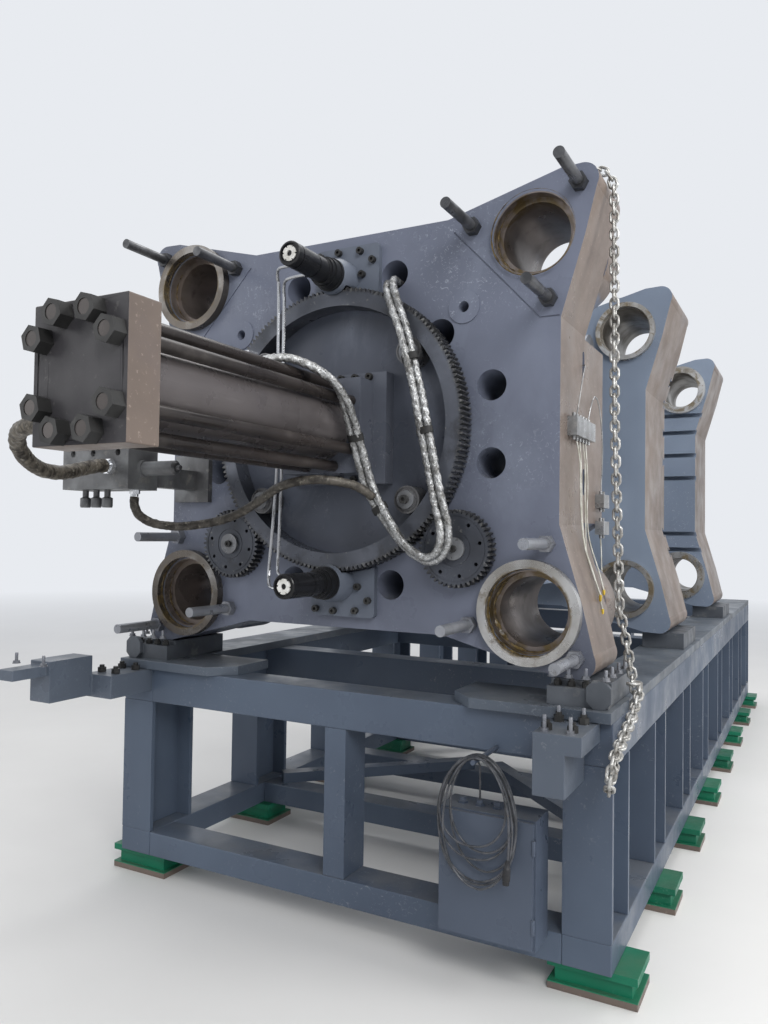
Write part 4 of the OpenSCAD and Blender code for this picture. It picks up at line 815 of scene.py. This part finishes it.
def set_screws():
    """Short studs with nuts and washers at the corner arms and shoes: (x, y, foot, height)."""
    bm = bmesh.new()
    places = [(x, y, 0.887, 0.05) for y in (-2.3, -2.146) for x in (0.886, 0.966)]
    row = [(0.846, -2.086), (0.9, -2.086), (0.956, -2.086), (1.02, -2.086), (1.02, -2.0), (1.02, -1.9),
           (1.02, -1.8)]
    places += [(side * x, y, 1.017, 0.034) for side in (1, -1) for x, y in row]
    places += [(-x, -2.62, 0.963, 0.04) for x in (1.08, 0.93)]
    washer = [(0.006, 0.0), (0.0155, 0.0), (0.0155, 0.0018), (0.006, 0.0018), (0.006, 0.0)]
    for x, y, z, tall in places:
        stud = [(0, tall), (0.0052, tall), (0.006, tall - 0.002), (0.006, 0.0), (0, 0.0)]
        turned(bm, stud, (x, y, z), (0, 0, 1), 12)
        nut = bmesh.ops.create_cone(bm, cap_ends=True, segments=6, radius1=0.0125, radius2=0.0125,
                                    depth=0.01)["verts"]
        spun = Matrix.Rotation(x * 31 + y * 17, 4, "Z")
        bmesh.ops.transform(bm, matrix=Matrix.Translation((x, y, z + 0.0052)) @ spun, verts=nut)
        turned(bm, washer, (x, y, z), (0, 0, 1), 20)
    keep(bm, "set_screws", FINISHES["stud_nuts"])


motor_ends()
set_screws()


def bore_grease():
    """Ridges of grease round the mouths of the tail platen's tie bar bores."""
    bm = bmesh.new()
    # For each bore the share of the full thickness and the angle where it is thickest
    thickest = {(1, -1): (1.0, 3.6), (1, 1): (0.6, 3.9), (-1, 1): (0.4, 3.4), (-1, -1): (0.5, 3.6)}
    for (sx, sz), (most, towards) in thickest.items():
        cx, cz = sx * BORE_X, AXIS_Z + sz * BORE_Z
        start = len(bm.verts)
        for radius, y, thick in ((0.1395, 0.034, 0.009), (0.1465, -0.012, 0.005)):
            outline = [(radius + thick * math.cos(t), y + thick * 1.3 * math.sin(t))
                       for t in (k * math.tau / 6 for k in range(7))]
            turned(bm, outline, (cx, TAIL_Y, cz), (0, 1, 0), 96)
        bm.verts.ensure_lookup_table()
        for v in bm.verts[start:]:
            angle = math.atan2(v.co.z - cz, v.co.x - cx)
            share = most * (0.18 + 0.82 * (0.5 + 0.5 * math.cos(angle - towards)) ** 2)
            lump = noise.noise(v.co * 38) + 0.5 * noise.noise(v.co * 120)
            share = max(0.06, share * (1 + 0.8 * lump))
            deep = v.co.y > TAIL_Y + 0.01
            core = Vector((cx, TAIL_Y + (0.034 if deep else -0.012), cz))
            core += Vector((math.cos(angle), 0, math.sin(angle))) * (0.143 if deep else 0.1495)
            v.co = core + (v.co - core) * share
    keep(bm, "bore_grease", soft_grease())


bore_grease()


# ---- Stage and light
BACKGROUND = srgb(232, 235, 240)


def set_stage():
    """A pale floor that keeps the shadows near the machine and fades into the background far off."""
    floor = bpy.data.meshes.new("floor")
    bm = bmesh.new()
    bmesh.ops.create_grid(bm, x_segments=1, y_segments=1, size=90)
    bm.to_mesh(floor)
    bm.free()
    ground = bpy.data.objects.new("floor", floor)
    bpy.context.scene.collection.objects.link(ground)
    f = Finish("floor_pale", 0.0, 0.75)
    f.colour(f.over(f.step(f.grain(0.6, 5), 0.35, 0.65), srgb(226, 226, 225), srgb(220, 220, 219)))
    away = f.length(f.x, f.y)
    rays = f.nodes.new("ShaderNodeLightPath")
    glow = f.nodes.new("ShaderNodeEmission")
    glow.inputs["Color"].default_value = BACKGROUND
    fade = f.nodes.new("ShaderNodeMixShader")
    f.put(fade.inputs[0], f.calc("MULTIPLY", f.step(away, 4.5, 17), rays.outputs["Is Camera Ray"]))
    f.links.new(f.shader.outputs[0], fade.inputs[1])
    f.links.new(glow.outputs[0], fade.inputs[2])
    f.links.new(fade.outputs[0], f.nodes["Material Output"].inputs["Surface"])
    floor.materials.append(f.material)


# Name, place, what it points at, width and power of each lamp
LAMPS = (("key", (5.5, -8.0, 6.5), (0, -1.6, 1.3), 4.0, 480),
         ("side", (8.5, -1.0, 4.5), (0.8, -1, 1.6), 4.0, 330),
         ("fill", (-6.5, -7.0, 4.0), (0, -2, 1.2), 5.0, 90),
         ("top", (0.5, 0.5, 8.5), (0, -0.5, 1.5), 6.0, 330))


def set_light():
    """Soft lamps and a dim sky; the camera and reflections see the pale background instead."""
    world = bpy.data.worlds.new("studio")
    world.use_nodes = True
    nodes, links = world.node_tree.nodes, world.node_tree.links
    lit, seen = nodes["Background"], nodes.new("ShaderNodeBackground")
    lit.inputs["Color"].default_value = (0.93, 0.95, 1.0, 1)
    lit.inputs["Strength"].default_value = 0.55
    seen.inputs["Color"].default_value = BACKGROUND
    rays = nodes.new("ShaderNodeLightPath")
    share = rays.outputs["Is Camera Ray"]
    for kind in ("Is Glossy Ray", "Is Transmission Ray"):
        either = nodes.new("ShaderNodeMath")
        either.operation = "MAXIMUM"
        links.new(share, either.inputs[0])
        links.new(rays.outputs[kind], either.inputs[1])
        share = either.outputs[0]
    mixed = nodes.new("ShaderNodeMixShader")
    links.new(share, mixed.inputs[0])
    links.new(lit.outputs[0], mixed.inputs[1])
    links.new(seen.outputs[0], mixed.inputs[2])
    links.new(mixed.outputs[0], nodes["World Output"].inputs["Surface"])
    bpy.context.scene.world = world
    for name, place, aim, size, power in LAMPS:
        lamp = bpy.data.lights.new(name, "AREA")
        lamp.size = size
        lamp.energy = power
        lamp.color = (1, 0.985, 0.96)
        thing = bpy.data.objects.new(name, lamp)
        bpy.context.scene.collection.objects.link(thing)
        thing.location = place
        thing.rotation_euler = (Vector(aim) - Vector(place)).to_track_quat("-Z", "Y").to_euler()


set_stage()
set_light()
bpy.context.scene.view_settings.view_transform = "Standard"
